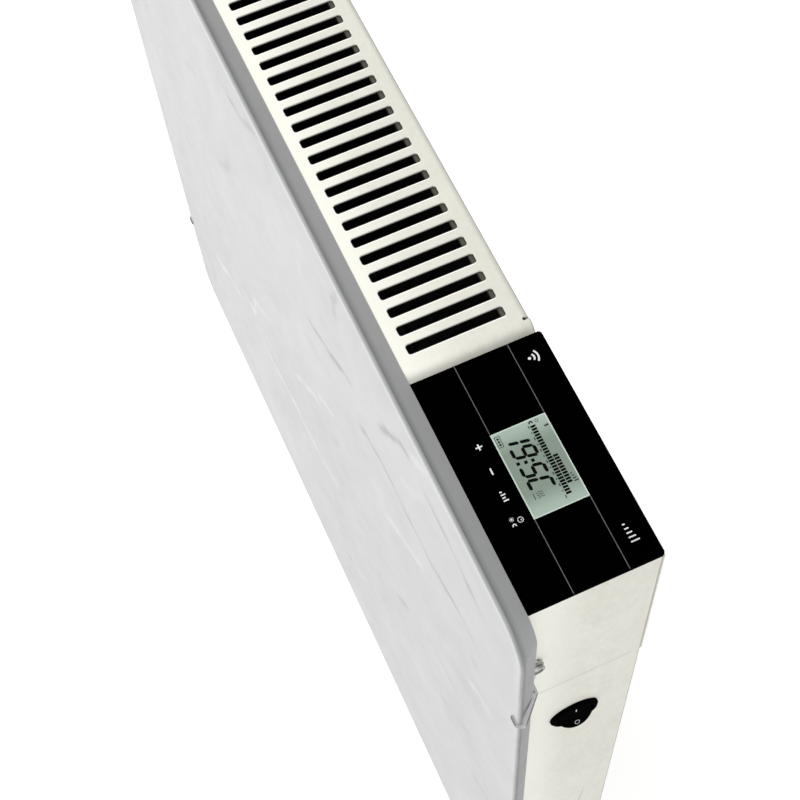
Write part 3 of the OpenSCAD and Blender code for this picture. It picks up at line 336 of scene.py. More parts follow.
def ledge_waves(x, z):
    """Height and shade of the main ledges at arrays x and z.

    Each is a step across its path, tanh(off / round) exp(-|off| / fall), that eases out towards both ends.
    Its shade is painted light: a line along the step, exp(-(off / width)^2), narrower on a higher ledge, a
    painted highlight where the height is above zero and painted shade where it is below. Off is the distance
    to the path's nearest segment, above zero on its left, at a point that is first moved a little by smooth
    noise.
    """
    x, z = [axis + 0.0016 * cloud_field(x, z, 0.012, seed) + 0.0008 * cloud_field(x, z, 0.005, seed + 1)
            for axis, seed in ((x, 31), (z, 37))]
    rise, shade = np.zeros_like(x), np.zeros_like(x)
    for height, *path in ledges:
        path = np.array(path) / 1000
        run = np.diff(path, axis=0)
        from_x, from_z = x[..., None] - path[:-1, 0], z[..., None] - path[:-1, 1]
        share = np.clip((from_x * run[:, 0] + from_z * run[:, 1]) / (run ** 2).sum(axis=1), 0, 1)
        distance = np.hypot(from_x - share * run[:, 0], from_z - share * run[:, 1])
        nearest = distance.argmin(axis=-1)[..., None]
        left = np.sign(from_z * run[:, 0] - from_x * run[:, 1])
        off = np.take_along_axis(distance * left, nearest, axis=-1)[..., 0]
        along = (nearest + np.take_along_axis(share, nearest, axis=-1))[..., 0] / len(run)
        ends = np.clip(6 * np.minimum(along, 1 - along), 0, 1)
        step = np.tanh(off / ledge_round) * np.exp(-np.abs(off) / ledge_fall)
        rise = rise + 0.6 * height * ends * step
        patchy = 0.95 + 0.35 * cloud_field(x, z, 0.009, 41)
        width = 0.0042 - 0.004 * abs(height)
        shade = shade + height * ends * patchy * np.exp(-((off / width) ** 2))
    return rise, shade


def cleft_face(x, z):
    """How deep the cast face lies under its highest plane, and the shade of its main ledges.

    The depth is cleft depth (0.5 + clouds + terraces + main ledges). The clouds are drawn out along the
    grain, and the terraces are those clouds cut into steps.
    """
    rise, shade = ledge_waves(x, z)
    along = x * math.cos(grain_turn) + z * math.sin(grain_turn)
    across = z * math.cos(grain_turn) - x * math.sin(grain_turn)
    swirl = 0.018 * cloud_field(along, across, 0.08, 5)
    broad = cloud_field(along / 2.2, across + swirl, 0.045, 11)
    fine = cloud_field(along / 3.0, across + swirl, 0.012, 17)
    steps = 2.0 * broad + 0.5 * fine
    terrace = np.floor(steps) + np.clip((steps - np.floor(steps)) * 6.0, 0, 1)
    presence = np.clip(0.5 + cloud_field(x, z, 0.06, 23), 0, 1)
    depth = 0.5 + 0.16 * broad + 0.05 * fine + 0.12 * terrace * presence + rise
    return cleft_depth * np.clip(depth, 0.0, 1.6), shade


# The edge leans in by the undercut, and the arris rounds the corner that it makes with the face
first_lean = math.atan2(slab_t, slab_undercut + slab_arris)
tip = slab_arris * (1 / math.tan(first_lean / 2) - 1)
lean = math.atan2(slab_t, tip + slab_undercut)
arris_in = slab_arris / math.tan(lean / 2) - tip
arris_turns = np.linspace(lean - math.pi / 2, math.pi / 2, 7)
pocket_in = 0.036
pocket_depth = 0.0054
plain_rim = 0.0022
cleft_ease = 0.009
rim_insets = (plain_rim, 0.0035, 0.0055, 0.008, 0.011, 0.014, slab_corner)
# Profile of the slab from the middle of the back pocket round the edge to the face: how far in from the
# outline, how deep under the face, and a mark, which is over 1 on the edge, falls from 1 along the arris,
# and rises from under 0 to 0 on the face beside it.
profile = [(None, slab_t - pocket_depth, 3.0), (pocket_in, slab_t - pocket_depth, 3.0)]
profile += [(pocket_in, slab_t, 3.0), (slab_undercut, slab_t, 2.4)]
profile += [(slab_undercut * s + arris_in * (1 - s), slab_t * s + slab_arris * (1 - s), 1 + s)
            for s in (0.66, 0.33, 0.12)]
profile += [(arris_in - slab_arris * math.cos(a), slab_arris * (1 - math.sin(a)), 1 - 0.12 * i)
            for i, a in enumerate(arris_turns)]
profile += [(inset, 0.0, min(0.0, inset * 60 - 0.5)) for inset in rim_insets]

# Once round the slab: straight runs that match the face's cells, and nine points round each corner.
run = np.linspace(-1, 1, face_cells + 1)
share = (run[:, None] + 1) / 2
turns = np.radians(np.linspace(0, 90, 9))
corners = [(1, -1), (1, 1), (-1, 1), (-1, -1)]
sides = []
for quarter, (start, far) in enumerate(zip(corners, corners[1:] + corners[:1])):
    side = np.array(start) * (1 - share) + np.array(far) * share
    facing = math.pi / 2 * quarter
    out = np.tile([math.cos(facing), math.sin(facing)], (len(side), 1))
    corner = np.tile(far, (len(turns), 1))
    corner_out = np.stack([np.cos(facing + turns), np.sin(facing + turns)], axis=1)
    sides.append(np.concatenate([np.hstack([side, out]), np.hstack([corner, corner_out])]))
loop = np.concatenate(sides + [sides[0][:1]])

rings = []
ring_marks = []
ring_shades = []
for inset, depth, mark in profile:
    if inset is None:
        x, z = np.zeros((2, len(loop)))
    else:
        past = max(inset - slab_corner, 0.0)
        out = max(slab_corner - inset, 0.0)
        x = loop[:, 0] * (straight_half - past) + loop[:, 2] * out
        z = loop[:, 1] * (straight_half - past) + loop[:, 3] * out
    world_x, world_z = x + slab_middle.x, z + slab_middle.z
    cleft, shade = cleft_face(world_x, world_z) if mark <= 0.0 else np.zeros((2, len(loop)))
    y = slab_low.y + depth + cleft * np.clip(((inset or 0.0) - plain_rim) / cleft_ease, 0, 1)
    rings.append(np.stack([world_x, y, world_z], axis=1))
    ring_marks.append(np.full(len(loop), mark))
    ring_shades.append(shade)
face_x, face_z = np.meshgrid(run * straight_half + slab_middle.x, run * straight_half + slab_middle.z)
face_cleft, face_shade = cleft_face(face_x, face_z)
face = np.stack([face_x, slab_low.y + face_cleft, face_z], axis=2)
marks = [
    ("edge", [np.array(ring_marks), np.zeros(face_x.shape)]),
    ("ledge", [np.array(ring_shades), face_shade]),
]
slab = make_piece("stone_slab", [np.array(rings), face], 30.0, marks)
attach(slab, "heater")
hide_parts("front_slab")


def fade(value, start, end, first=0.0, last=1.0):
    """A value eased from first to last as it goes from start to end, and held beyond them."""
    sockets = {"Value": value, "From Min": start, "From Max": end, "To Min": first, "To Max": last}
    return value.node("MapRange", {"interpolation_type": "SMOOTHSTEP"}, sockets)


def attribute(place, name):
    """The value of a piece's own attribute."""
    return place.node("Attribute", {"attribute_name": name}, {}, pick=2)


def stretched(place, scale, turn=(0.0, 0.0, 0.0)):
    """Object coordinates drawn out by three scales and turned by three angles."""
    sockets = {"Vector": place, "Rotation": turn, "Scale": scale}
    return place.node("Mapping", {"vector_type": "TEXTURE"}, sockets)


stone, place = start_finish("cast_stone")
streaks = stretched(place, (4.0, 1.0, 1.0), (0.0, -grain_turn, 0.0))
drift = stretched(place, (2.6, 1.0, 1.0), (0.0, -grain_turn - 0.25, 0.0))
marble = clouds(streaks, 0.008, 5.0, 0.55)
brush = clouds(drift, 0.03, 4.0, 0.5)
haze = clouds(place, 0.2, 2.0)
tone = marble * 0.22 + brush * 0.38 + haze * 0.4
pale, middling, deep = (0.635, 0.635, 0.635), (0.598, 0.598, 0.6), (0.55, 0.55, 0.554)
face_colour = ramp(tone, (0.36, deep), (0.52, middling), (0.66, pale))
ledge = attribute(place, "ledge")
# Painted light along the main ledges: a lit ledge is painted lighter and a shaded one darker
face_colour = mix(fade(ledge, 0.0, 0.5), face_colour, (0.69, 0.69, 0.69))
face_colour = mix(fade(ledge, 0.0, -0.5), face_colour, (0.41, 0.414, 0.42))
edge_colour = cloudy(place, 0.01, (0.302, 0.306, 0.305), (0.361, 0.365, 0.364), 5.0, 0.6)
arris_colour = cloudy(place, 0.006, (0.168, 0.17, 0.173), (0.224, 0.226, 0.229), 4.0)
# Painted light on the slab's upper edge, which faces the lamp: 0 on the lower part of its sides, 1 along the
# top
upward = fade(coordinate(place, 2), 0.055, slab_high.z - 0.01)
edge_colour = mix(upward * 0.64, edge_colour, (0.405, 0.41, 0.41))
arris_colour = mix(upward * 0.8, arris_colour, (0.283, 0.286, 0.289))
edge = attribute(place, "edge")
# A painted highlight on the face beside the arris, stronger along the top
face_colour = mix(fade(edge, 0.0, -0.4) * (0.15 + upward * 0.55), face_colour, (0.7, 0.7, 0.7))
# A dark line of painted shade along the arris, lighter along the top
on_arris = fade(edge, 0.2 - upward * 0.2, 1.0 - upward * 0.1)
stone_colour = mix(fade(edge, 1.0, 1.45), mix(on_arris, face_colour, arris_colour), edge_colour)
grit = clouds(place, 0.0012, 3.0, 0.6) * 0.4 + marble * 0.6
end_finish(place, {
    "Base Color": stone_colour,
    "Roughness": cloudy(place, 0.02, 0.5, 0.62, 4.0),
    "Specular IOR Level": 0.35,
    "Normal": bump(grit, 0.00014),
})
slab.data.materials.append(stone)


def dress(finish, *names):
    """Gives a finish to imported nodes."""
    for name in names:
        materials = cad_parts[name].data.materials
        materials.clear()
        materials.append(finish)


# Heating wire and back board
# A rubber-sheathed wire runs to and fro in a pocket in the back of the slab.
# A fibre-cement board closes the pocket, and a zinc-plated sheet carries the slab.
sheath, place = start_finish("wire_sheath")
end_finish(place, {
    "Base Color": cloudy(place, 0.004, (0.10, 0.03, 0.025), (0.16, 0.045, 0.04)),
    "Roughness": 0.5,
    "Normal": bump(clouds(place, 0.0008), 0.00003),
})
dress(sheath, "slab_heating_wire", "harness_wires")

board, place = start_finish("mineral_board")
end_finish(place, {
    "Base Color": cloudy(place, 0.012, (0.42, 0.36, 0.27), (0.55, 0.48, 0.38), 5.0),
    "Roughness": 0.9,
    "Normal": bump(clouds(place, 0.0015, 4.0), 0.0002),
})
dress(board, "slab_insulation_board")

zinc, place = start_finish("zinc_steel")
spangle = place.node("TexVoronoi", {}, {"Vector": place, "Scale": 260.0}, pick=1)
spangle_grey = spangle.node("RGBToBW", {}, {"Color": spangle})
end_finish(place, {
    "Base Color": ramp(spangle_grey, (0.2, (0.50, 0.51, 0.53)), (0.8, (0.62, 0.63, 0.64))),
    "Metallic": 0.9,
    "Roughness": cloudy(place, 0.01, 0.32, 0.48),
    "Normal": bump(clouds(place, 0.0012), 0.00002),
})
dress(zinc, "front_carrier_plate", "rear_panel_screws", "control_cover_screws",
      "element_bracket_left", "element_bracket_right", "cutout_bracket", "wall_rail", "hanging_hooks")


# Housing
# The housing is folded from 1 mm steel sheet and powder-coated a warm white, yellower where it has aged.
# The grille's ends are rolled down. Inside, the sheets are painted nearly black as shade.
sheet_share = 0.0006
housing_low, housing_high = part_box("top_grille")
end_roll = 0.0081
back_roll = 0.003
slot_pitch = 0.00883
slot_half = 0.0022
slot_round = 0.001
slot_count = 39
first_slot = housing_high.x - 0.014
last_slot = first_slot - (slot_count - 1) * slot_pitch
slot_from = slab_high.y + 0.0053
slot_to = housing_high.y - 0.008
# Off a slot's outline: the fade of the cut edge's painted shade, the rise and fall of the bright rim's
# painted highlight, and the end of the dull rim's painted shade
cut_shade_blend = (0.00021, 0.00027)
highlight_blends = (0.0002, 0.0005, 0.0008)
shade_rim_width = 0.0006
shaded_cream = (0.62, 0.62, 0.56)


def under_corner(first, second, roll):
    """Depth under a rounded edge, from the depths under its two sides: roll - |max(roll - (a, b), 0)|."""
    a, b = [(roll - side).math("MAXIMUM", 0.0) for side in (first, second)]
    return roll - (a * a + b * b).math("SQRT")


def slot_edges(x, y, paint):
    """The grille's paint with the edges of its slots.

    Off is the distance from the nearest slot's middle line. How far a point lies outside the slot is
    |max((|off|, |y - middle|) - (half, half length) + round, 0)| - round, and up to 0.24 mm of it is
    painted dark as the cut edge's shade, apart from the slot's left side. A dull rim of painted shade runs
    along that side, and a bright rim of painted highlight along the right side, where the sheet turns over
    into the slot.
    """
    edge_blend = 0.0001
    end_blend = 0.0008
    left, right = last_slot - slot_pitch / 2, first_slot + slot_pitch / 2
    row = fade(x, left, left + edge_blend) * fade(x, right - edge_blend, right, 1.0, 0.0)
    among = row * fade(y, slot_from, slot_from + end_blend) * fade(y, slot_to - end_blend, slot_to, 1.0, 0.0)
    off = ((x - first_slot) * (1 / slot_pitch) + 0.5).math("FRACT") * slot_pitch - slot_pitch / 2
    beside = (off.math("ABSOLUTE") - slot_half + slot_round).math("MAXIMUM", 0.0)
    beyond = (y - (slot_from + slot_to) / 2).math("ABSOLUTE") - (slot_to - slot_from) / 2
    beyond = (beyond + slot_round).math("MAXIMUM", 0.0)
    outside = (beside * beside + beyond * beyond).math("SQRT") - slot_round
    cut = fade(outside, *cut_shade_blend, 1.0, 0.0) * fade(off, -slot_half, -slot_half * 0.6) * row
    rise, level, fall = [slot_half + blend for blend in highlight_blends]
    bright = fade(off, slot_half, rise) * fade(off, level, fall, 1.0, 0.0)
    dull = fade(off, -slot_half - shade_rim_width, -slot_half, 0.0, 0.7) * off.math("LESS_THAN", 0.0)
    # The cut edge's painted shade is a little lighter at the slot's back end
    cut_shade_colour = mix(fade(y, slot_to - 0.0018, slot_to - 0.001), (0.005, 0.005, 0.005), (0.05, 0.049, 0.04))
    paint = mix(bright * among, paint, (0.97, 0.97, 0.9))
    paint = mix(dull * among, paint, (0.33, 0.33, 0.3))
    return mix(cut, paint, cut_shade_colour)


def joint_and_crease_shade_lines(place, x, y, z, end_x):
    """Share of the thin dark lines on the right end, each held near its joint and eased out beyond it.

    They are the joints under and behind the control panel, and lower down the painted shade of a faint
    leaning crease.
    """
    crease_y, crease_z, crease_lean = -0.0311, -0.19, 0.06
    under_panel = (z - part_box("right_end_plate")[1].z).math("ABSOLUTE")
    behind_panel = (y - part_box("control_shell")[1].y).math("ABSOLUTE")
    crease = (y - crease_y - (z - crease_z) * crease_lean).math("ABSOLUTE")
    line = fade(under_panel, 0.0002, 0.0012, 0.3, 0.0) * fade(y, -0.0225, -0.0215, 1.0, 0.0)
    line = line.math("MAXIMUM", fade(behind_panel, 0.0002, 0.0005, 0.9, 0.0))
    # The crease line is painted shade
    crease_reach = fade(z, -0.188, -0.205) * fade(z, -0.235, -0.245, 1.0, 0.0)
    line = line.math("MAXIMUM", fade(crease, 0.0, 0.0008, 0.6, 0.0) * crease_reach)
    return line * fade(x, end_x - 0.0003, end_x - 0.0001) * (0.7 + 0.6 * clouds(place, 0.01))


def cream_finish(name, end_x, roll, painted_top_shade=0.0, pressed=False):
    """Powder coat on a box from the slab's back to the rear panel, dark more than a sheet's share under it.

    With a share of painted top shade, it is the grille: that painted shade lies on the flat part before the
    rolled end, and the slots' edges show. Under the coat the sheets are painted dark as shade. On a pressed
    back sheet the faces that look forward are inside as well.
    """
    finish, place = start_finish(name)
    x, y, z = [coordinate(place, axis) for axis in range(3)]
    under_top = housing_high.z - z
    sides = [
        under_corner(end_x - x, under_top, roll),
        under_corner(x - housing_low.x, under_top, end_roll),
        under_corner(housing_high.y - y, under_top, back_roll),
        y - slab_high.y,
        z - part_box("rear_panel")[0].z,
    ]
    depth = sides[0]
    for side in sides[1:]:
        depth = depth.math("MINIMUM", side)
    inside = depth.math("GREATER_THAN", sheet_share)
    if pressed:
        normal = place.node("NewGeometry", {}, {}, pick=1)
        inside = inside.math("MAXIMUM", coordinate(normal, 1).math("LESS_THAN", -0.05))
    aged = stretched(place, (1.0, 1.0, 2.2))
    ageing = clouds(aged, 0.07, 4.0, 0.6) * 0.35 + clouds(aged, 0.01, 4.0, 0.6) * 0.3
    ageing = ageing + clouds(aged, 0.0025, 3.0, 0.7) * 0.35
    tinge = ramp(ageing, (0.37, (0.712, 0.695, 0.61)), (0.63, (0.818, 0.803, 0.713)))
    # Painted light: the coat is lighter beside the slab, and painted shade makes it duller towards the back
    outer = mix(fade(y, slab_high.y, slab_high.y + 0.03, 1.0, 0.0), tinge, (0.99, 0.985, 0.89))
    outer = mix(fade(y, -0.045, -0.02, 0.0, 0.14), outer, shaded_cream)
    if painted_top_shade:
        # Painted shade on the grille's flat top, half as much beside the slab
        flat = fade(x, end_x - roll, end_x - 0.4 * roll, painted_top_shade, 0.0)
        flat = flat * fade(y, slab_high.y, slab_high.y + 0.008, 0.5, 1.0)
        outer = slot_edges(x, y, mix(flat, outer, shaded_cream))
        # The rolled back edge is in shade, and so thin that little of its dark inside shows
        back_edge = fade(y, housing_high.y - 0.001, housing_high.y - 0.0004)
        back_edge = back_edge * fade(under_top, 0.0022, 0.0034, 1.0, 0.0)
        outer = mix(back_edge, outer, (0.44, 0.43, 0.4))
        inside = inside * fade(y, housing_high.y - 0.0025, housing_high.y - 0.0015, 1.0, 0.3)
    outer = mix(joint_and_crease_shade_lines(place, x, y, z, end_x), outer, (0.36, 0.34, 0.28))
    # Inside, the sheets are painted nearly black as shade
    end_finish(place, {
        "Base Color": mix(inside, outer, (0.0085, 0.0075, 0.0072)),
        "Roughness": cloudy(place, 0.03, 0.42, 0.55),
        "Specular IOR Level": 0.3,
        "Normal": bump(clouds(place, 0.0011, 2.0, 0.6), 0.00003),
    })
    return finish


dress(cream_finish("cream_paint_grille", housing_high.x, end_roll, painted_top_shade=0.37), "top_grille")
dress(cream_finish("cream_paint", -housing_low.x, 0.001), "bottom_grille", "left_end_plate",
      "right_end_plate", "control_shell", "control_back_cover", "lower_spacers")
dress(cream_finish("cream_paint_back", -housing_low.x, 0.001, pressed=True), "rear_panel")


# Support angle
# A folded strip carries the grille's back edge, and its leg shows at the back end of every slot.
# Painted light from the slots lies on it and fades to painted shade under them. The corner posts are painted
# dark as shade alone.
def end_matt(place, colour):
    """Ends a material as a matt finish of this colour."""
    end_finish(place, {
        "Base Color": colour,
        "Roughness": cloudy(place, 0.01, 0.6, 0.75),
        "Specular IOR Level": 0.15,
        "Normal": bump(clouds(place, 0.0014), 0.00004),
    })


support_angle_finish, place = start_finish("support_angle_painted_light")
leg_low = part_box("top_support_angle")[0].y
# Painted light from the slot openings on the leg, fading to near-black painted shade under them
painted_slot_light = fade(coordinate(place, 1), leg_low + 0.0001, leg_low + 0.0009) * (0.75 + clouds(place, 0.004) * 0.5)
end_matt(place, mix(painted_slot_light, (0.004, 0.0038, 0.0033), (0.092, 0.09, 0.072)))
dress(support_angle_finish, "top_support_angle")

painted_shade_dark, place = start_finish("painted_shade_dark")
# Painted shade: the corner posts are nearly black
end_matt(place, cloudy(place, 0.008, (0.012, 0.0115, 0.011), (0.02, 0.019, 0.018), 4.0))
dress(painted_shade_dark, "corner_posts")


# Control glass
# A black-backed glass closes the top of the control panel, with two thin grey rules printed along it.
# Its touch marks, wave sign and level bars are printed in white, and stand a hair's breadth proud here.
black_glass, place = start_finish("black_glass")
glass_low, glass_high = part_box("control_glass")
end_finish(place, {
    "Base Color": cloudy(place, 0.03, 0.00005, 0.00015),
    "Roughness": cloudy(place, 0.02, 0.05, 0.1),
    "Specular IOR Level": 0.0,
    "Coat Weight": fade(coordinate(place, 2), glass_high.z - 0.0003, glass_high.z - 0.0001, 0.0, 0.07),
    "Coat Roughness": 0.07,
    "Coat IOR": 1.35,
})
dress(black_glass, "control_glass")


def strip_skin(left, right, lay):
    """A thin closed strip between two edges: its section goes round four corners, 0.03 mm apart in height.

    The edges are arrays of flat points, and lay puts flat points with a height onto the piece. An open
    strip is closed at both ends on the middle of its last section.
    """
    ink = 0.00003
    corners = [np.column_stack([edge, np.full(len(edge), level)])
               for edge, level in ((left, ink), (right, ink), (right, 0.0), (left, 0.0), (left, ink))]
    skin = np.stack(corners, axis=1)
    if not np.allclose(left[0], left[-1]):
        first, last = [np.repeat(skin[end, :4].mean(axis=0)[None, None], 5, axis=1) for end in (0, -1)]
        skin = np.concatenate([first, skin, last])
    return lay(skin)


def bar_edges(start, end, width, taper=0.0):
    """Both edges of a straight bar, half its width off its path. Its ends narrow over taper metres."""
    start, end = np.array(start), np.array(end)
    along = (end - start) / np.linalg.norm(end - start)
    across = np.array([-along[1], along[0]]) * width / 2
    path = np.array([start, start + along * taper, end - along * taper, end])
    half = np.array([[0.2], [1.0], [1.0], [0.2]])
    if taper == 0.0:
        path, half = path[[0, 3]], half[1:3]
    return path + across * half, path - across * half


def level_bar(centre, half, width):
    """Both edges of a level bar, which reaches half its length to either side of its centre."""
    return bar_edges(centre - (half, 0), centre + (half, 0), width)


def upright_bar(foot, tall, width):
    """Both edges of a bar that stands on its foot."""
    return bar_edges(foot, foot + (0, tall), width)


def arc_edges(centre, radius, width, start=0.0, end=360.0, steps=24):
    """Both edges of a band from start to end degrees: centre + (radius +- width / 2) (cos, sin)."""
    turn = np.radians(np.linspace(start, end, steps + 1))[:, None]
    spoke = np.hstack([np.cos(turn), np.sin(turn)])
    return np.array(centre) + spoke * (radius + width / 2), np.array(centre) + spoke * (radius - width / 2)


def disc_edges(centre, radius, steps=16):
    """Both edges of a full disc: its upper and lower half circles, which meet at both ends."""
    turn = np.radians(np.linspace(172, 8, steps + 1))[:, None]
    upper = np.hstack([np.cos(turn), np.sin(turn)]) * radius
    return np.array(centre) + upper, np.array(centre) + upper * (1, -1)


def flat_at(level):
    """Lays flat points on a level plane, x and y as they are."""
    return lambda points: points + np.array([0.0, 0.0, level])


def print_marks(name, strips, lay, finish, body):
    """A thin printed layer of strips, laid onto a piece that moves with a body."""
    piece = make_piece(name, [strip_skin(left, right, lay) for left, right in strips])
    piece.data.materials.append(finish)
    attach(piece, body)


def plain_finish(name, colour, roughness, relief, depth, metal=0.0, specular=0.5):
    """A material with clouds of colour, roughness and relief, each by its size, two ends and detail."""
    finish, place = start_finish(name)
    end_finish(place, {
        "Base Color": cloudy(place, *colour),
        "Metallic": metal,
        "Roughness": cloudy(place, *roughness),
        "Specular IOR Level": specular,
        "Normal": bump(clouds(place, *relief), depth),
    })
    return finish


ink_matt = (0.0009, 0.4, 0.55)
white_ink = plain_finish("white_ink", (0.0009, 0.62, 0.78), ink_matt, (0.0003,), 0.000004)
grey_ink = plain_finish("grey_ink", (0.002, 0.09, 0.125), ink_matt, (0.0003,), 0.000004, specular=0.2)

lcd_low, lcd_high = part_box("lcd_display")
lcd_x, lcd_y = (lcd_low.x + lcd_high.x) / 2, (lcd_low.y + lcd_high.y) / 2
lcd_half_x, lcd_half_y = 0.01865, 0.011375
rule_width = 0.00032
rule_gap = 0.0003
rules = []
left_rule = (glass_low.x + rule_gap, lcd_x - lcd_half_x - rule_gap)
right_rule = (lcd_x + lcd_half_x + rule_gap, glass_high.x - rule_gap)
for rule_y in (lcd_y - lcd_half_y + rule_width / 2, lcd_y + lcd_half_y - rule_width / 2):
    for start, end in (left_rule, right_rule):
        rules.append(bar_edges((start, rule_y), (end, rule_y), rule_width))
print_marks("glass_rules", rules, flat_at(glass_high.z), grey_ink, "heater")

sign_y = -0.0596
plus, minus, programme, mode = [np.array([x, sign_y]) for x in (0.1675, 0.1784, 0.1892, 0.2001)]
mark_width = 0.0006
plus_half = 0.00135
minus_half = 0.0014
signs = [
    level_bar(plus, plus_half, mark_width),
    bar_edges(plus - (0, plus_half), plus - (0, 0.00031), mark_width),
    bar_edges(plus + (0, 0.00031), plus + (0, plus_half), mark_width),
    level_bar(minus, minus_half, mark_width),
]
# A small chart stands for the programme, and a clock over a sun and a moon for the mode
for i, tall in enumerate((0.0009, 0.0018, 0.0013, 0.0021)):
    signs.append(upright_bar(programme + ((i - 1.5) * 0.00125, -0.0011), tall, 0.00055))
clock = mode + (0, 0.0013)
signs.append(arc_edges(clock, 0.00105, 0.00022))
signs.append(upright_bar(clock, 0.00075, 0.0002))
signs.append(bar_edges(clock + (0.00014, 0.0001), clock + (0.00055, 0.00035), 0.0002))
sun = mode + (-0.0013, -0.0017)
signs.append(disc_edges(sun, 0.0004))
for turn in np.radians(np.arange(0, 360, 45)):
    ray = np.array([math.cos(turn), math.sin(turn)])
    signs.append(bar_edges(sun + ray * 0.00065, sun + ray * 0.00095, 0.00022))
moon = mode + (0.0013, -0.0017)
signs.append(arc_edges(moon, 0.0006, 0.00045, 60, 300))
# Radio waves stand left of the display, and rising level bars right of it
wave = np.array([0.1419, -0.0262])
level_foot = np.array([0.2176, -0.0262])
signs.append(disc_edges(wave, 0.00062))
for radius in (0.00195, 0.0036):
    signs.append(arc_edges(wave, radius, 0.00075, 48, 132))
for i in range(5):
    signs.append(upright_bar(level_foot + (i * 0.0018, 0), 0.0011 + i * 0.00058, 0.00055))
print_marks("glass_signs", signs, flat_at(glass_high.z), white_ink, "heater")


# Display
# A grey-green liquid-crystal cell looks up through a window in the glass, lit from its edges.
# It shows a temperature, the day's programme in two rows of bars, and small dark signs.
lcd_glass, place = start_finish("lcd_glass")
from_end = lcd_half_x - (coordinate(place, 0) - lcd_x).math("ABSOLUTE")
from_side = lcd_half_y - (coordinate(place, 1) - lcd_y).math("ABSOLUTE")
rim = from_end.math("MINIMUM", from_side)
# Painted light: the cell is lighter towards its ends and palest at its rim, as its edge light
cell = mix(fade(from_end, 0.0, 0.011, 1.0, 0.0) * (0.8 + 0.4 * clouds(place, 0.02, 2.0)),
           (0.225, 0.28, 0.23), (0.37, 0.455, 0.39))
end_finish(place, {
    "Base Color": mix(fade(rim, 0.0001, 0.0007, 1.0, 0.0), cell, (0.62, 0.72, 0.65)),
    "Roughness": cloudy(place, 0.01, 0.12, 0.2, 2.0),
    "Specular IOR Level": 0.2,
    "Normal": bump(clouds(place, 0.0006), 0.000003),
})
dress(lcd_glass, "lcd_display")

lcd_ink, place = start_finish("lcd_ink")
end_finish(place, {
    "Base Color": cloudy(place, 0.001, (0.001, 0.0013, 0.001), (0.003, 0.0036, 0.003), 2.0),
    "Roughness": cloudy(place, 0.001, 0.3, 0.45),
    "Specular IOR Level": 0.03,
})

pale_ink, place = start_finish("lcd_pale_ink")
end_finish(place, {
    "Base Color": cloudy(place, 0.001, (0.014, 0.018, 0.015), (0.028, 0.036, 0.03), 2.0),
    "Roughness": cloudy(place, 0.001, 0.3, 0.45),
    "Specular IOR Level": 0.15,
})

# Seven segments of a digit, as pairs of corners in half widths and half heights
segment_ends = {
    "top": ((-1, 1), (1, 1)), "middle": ((-1, 0), (1, 0)), "foot": ((-1, -1), (1, -1)),
    "upper_left": ((-1, 0), (-1, 1)), "upper_right": ((1, 0), (1, 1)),
    "lower_left": ((-1, -1), (-1, 0)), "lower_right": ((1, -1), (1, 0)),
}
shown = {
    "1": ("upper_right", "lower_right"),
    "9": ("top", "middle", "foot", "upper_left", "upper_right", "lower_right"),
    "5": ("top", "middle", "foot", "upper_left", "lower_right"),
    "C": ("top", "foot", "upper_left", "lower_left"),
}


def digit(sign, centre, half_w, half_h, thick, slant=0.19):
    """The segments of one digit, as edges of bars, which lean: x + slant y."""
    bars = []
    for name in shown[sign]:
        ends = np.array(segment_ends[name], float) * (half_w, half_h)
        along = (ends[1] - ends[0]) / np.linalg.norm(ends[1] - ends[0])
        ends = ends + np.array([along, -along]) * thick * 0.14
        upright = bar_edges(ends[0], ends[1], thick, thick * 0.4)
        leaning = [np.column_stack([edge[:, 0] + slant * edge[:, 1], edge[:, 1]]) for edge in upright]
        bars.append(tuple(edge + np.array(centre) for edge in leaning))
    return bars


digit_y = lcd_y - 0.0027
digit_half_w, digit_half_h = 0.00205, 0.0043
thick = 0.00132
figures = []
for sign, x in zip("195C", (0.1699, 0.1762, 0.1844, 0.1904)):
    figures += digit(sign, (x, digit_y), digit_half_w, digit_half_h, thick)
# A colon and a point between the digits lean as the digits do
for dot_x, dot_up in ((0.18065, 0.0014), (0.1803, -0.0013), (0.1798, -0.0042)):
    figures.append(level_bar(np.array([dot_x, digit_y + dot_up]), thick / 2, thick))
# The day's programme: a row of 24 bars, with a second row over the warm hours
bar_x, bar_pitch, bar_width = 0.16815, 0.00129, 0.00092
for hours, foot_y, tall in ((range(24), -0.0387, 0.0021), (range(11, 21), -0.0363, 0.0020)):
    for hour in hours:
        figures.append(upright_bar(np.array([bar_x + hour * bar_pitch, foot_y]), tall, bar_width))
# A ring open to the right beside the bars, and the number of the day over them
figures.append(arc_edges((0.16655, -0.0378), 0.0006, 0.00052, 60, 300))
figures.append(bar_edges((0.16975, -0.03375), (0.16975, -0.0321), 0.0006))
figures.append(bar_edges((0.1692, -0.0325), (0.16985, -0.0322), 0.0004))
print_marks("display_figures", figures, flat_at(lcd_high.z), lcd_ink, "heater")

# Pale signs: a ring, marks under every second bar, and three heat waves over a line
faint = [arc_edges((0.16645, -0.0354), 0.0006, 0.0002)]
for i in range(13):
    mark_half = 0.0003 if i % 2 else 0.0006
    faint.append(level_bar(np.array([0.16795 + i * 2 * bar_pitch, -0.0393]), mark_half, 0.0004))
for i in range(3):
    rise = np.linspace(0, 1, 13)[:, None]
    wavy = 0.00022 * np.sin(rise * 3 * math.pi)
    path = np.hstack([0.1931 + i * 0.00095 + wavy, -0.0487 + rise * 0.0027])
    faint.append((path - (0.00012, 0), path + (0.00012, 0)))
faint.append(bar_edges((0.1928, -0.0498), (0.1954, -0.0498), 0.0003))
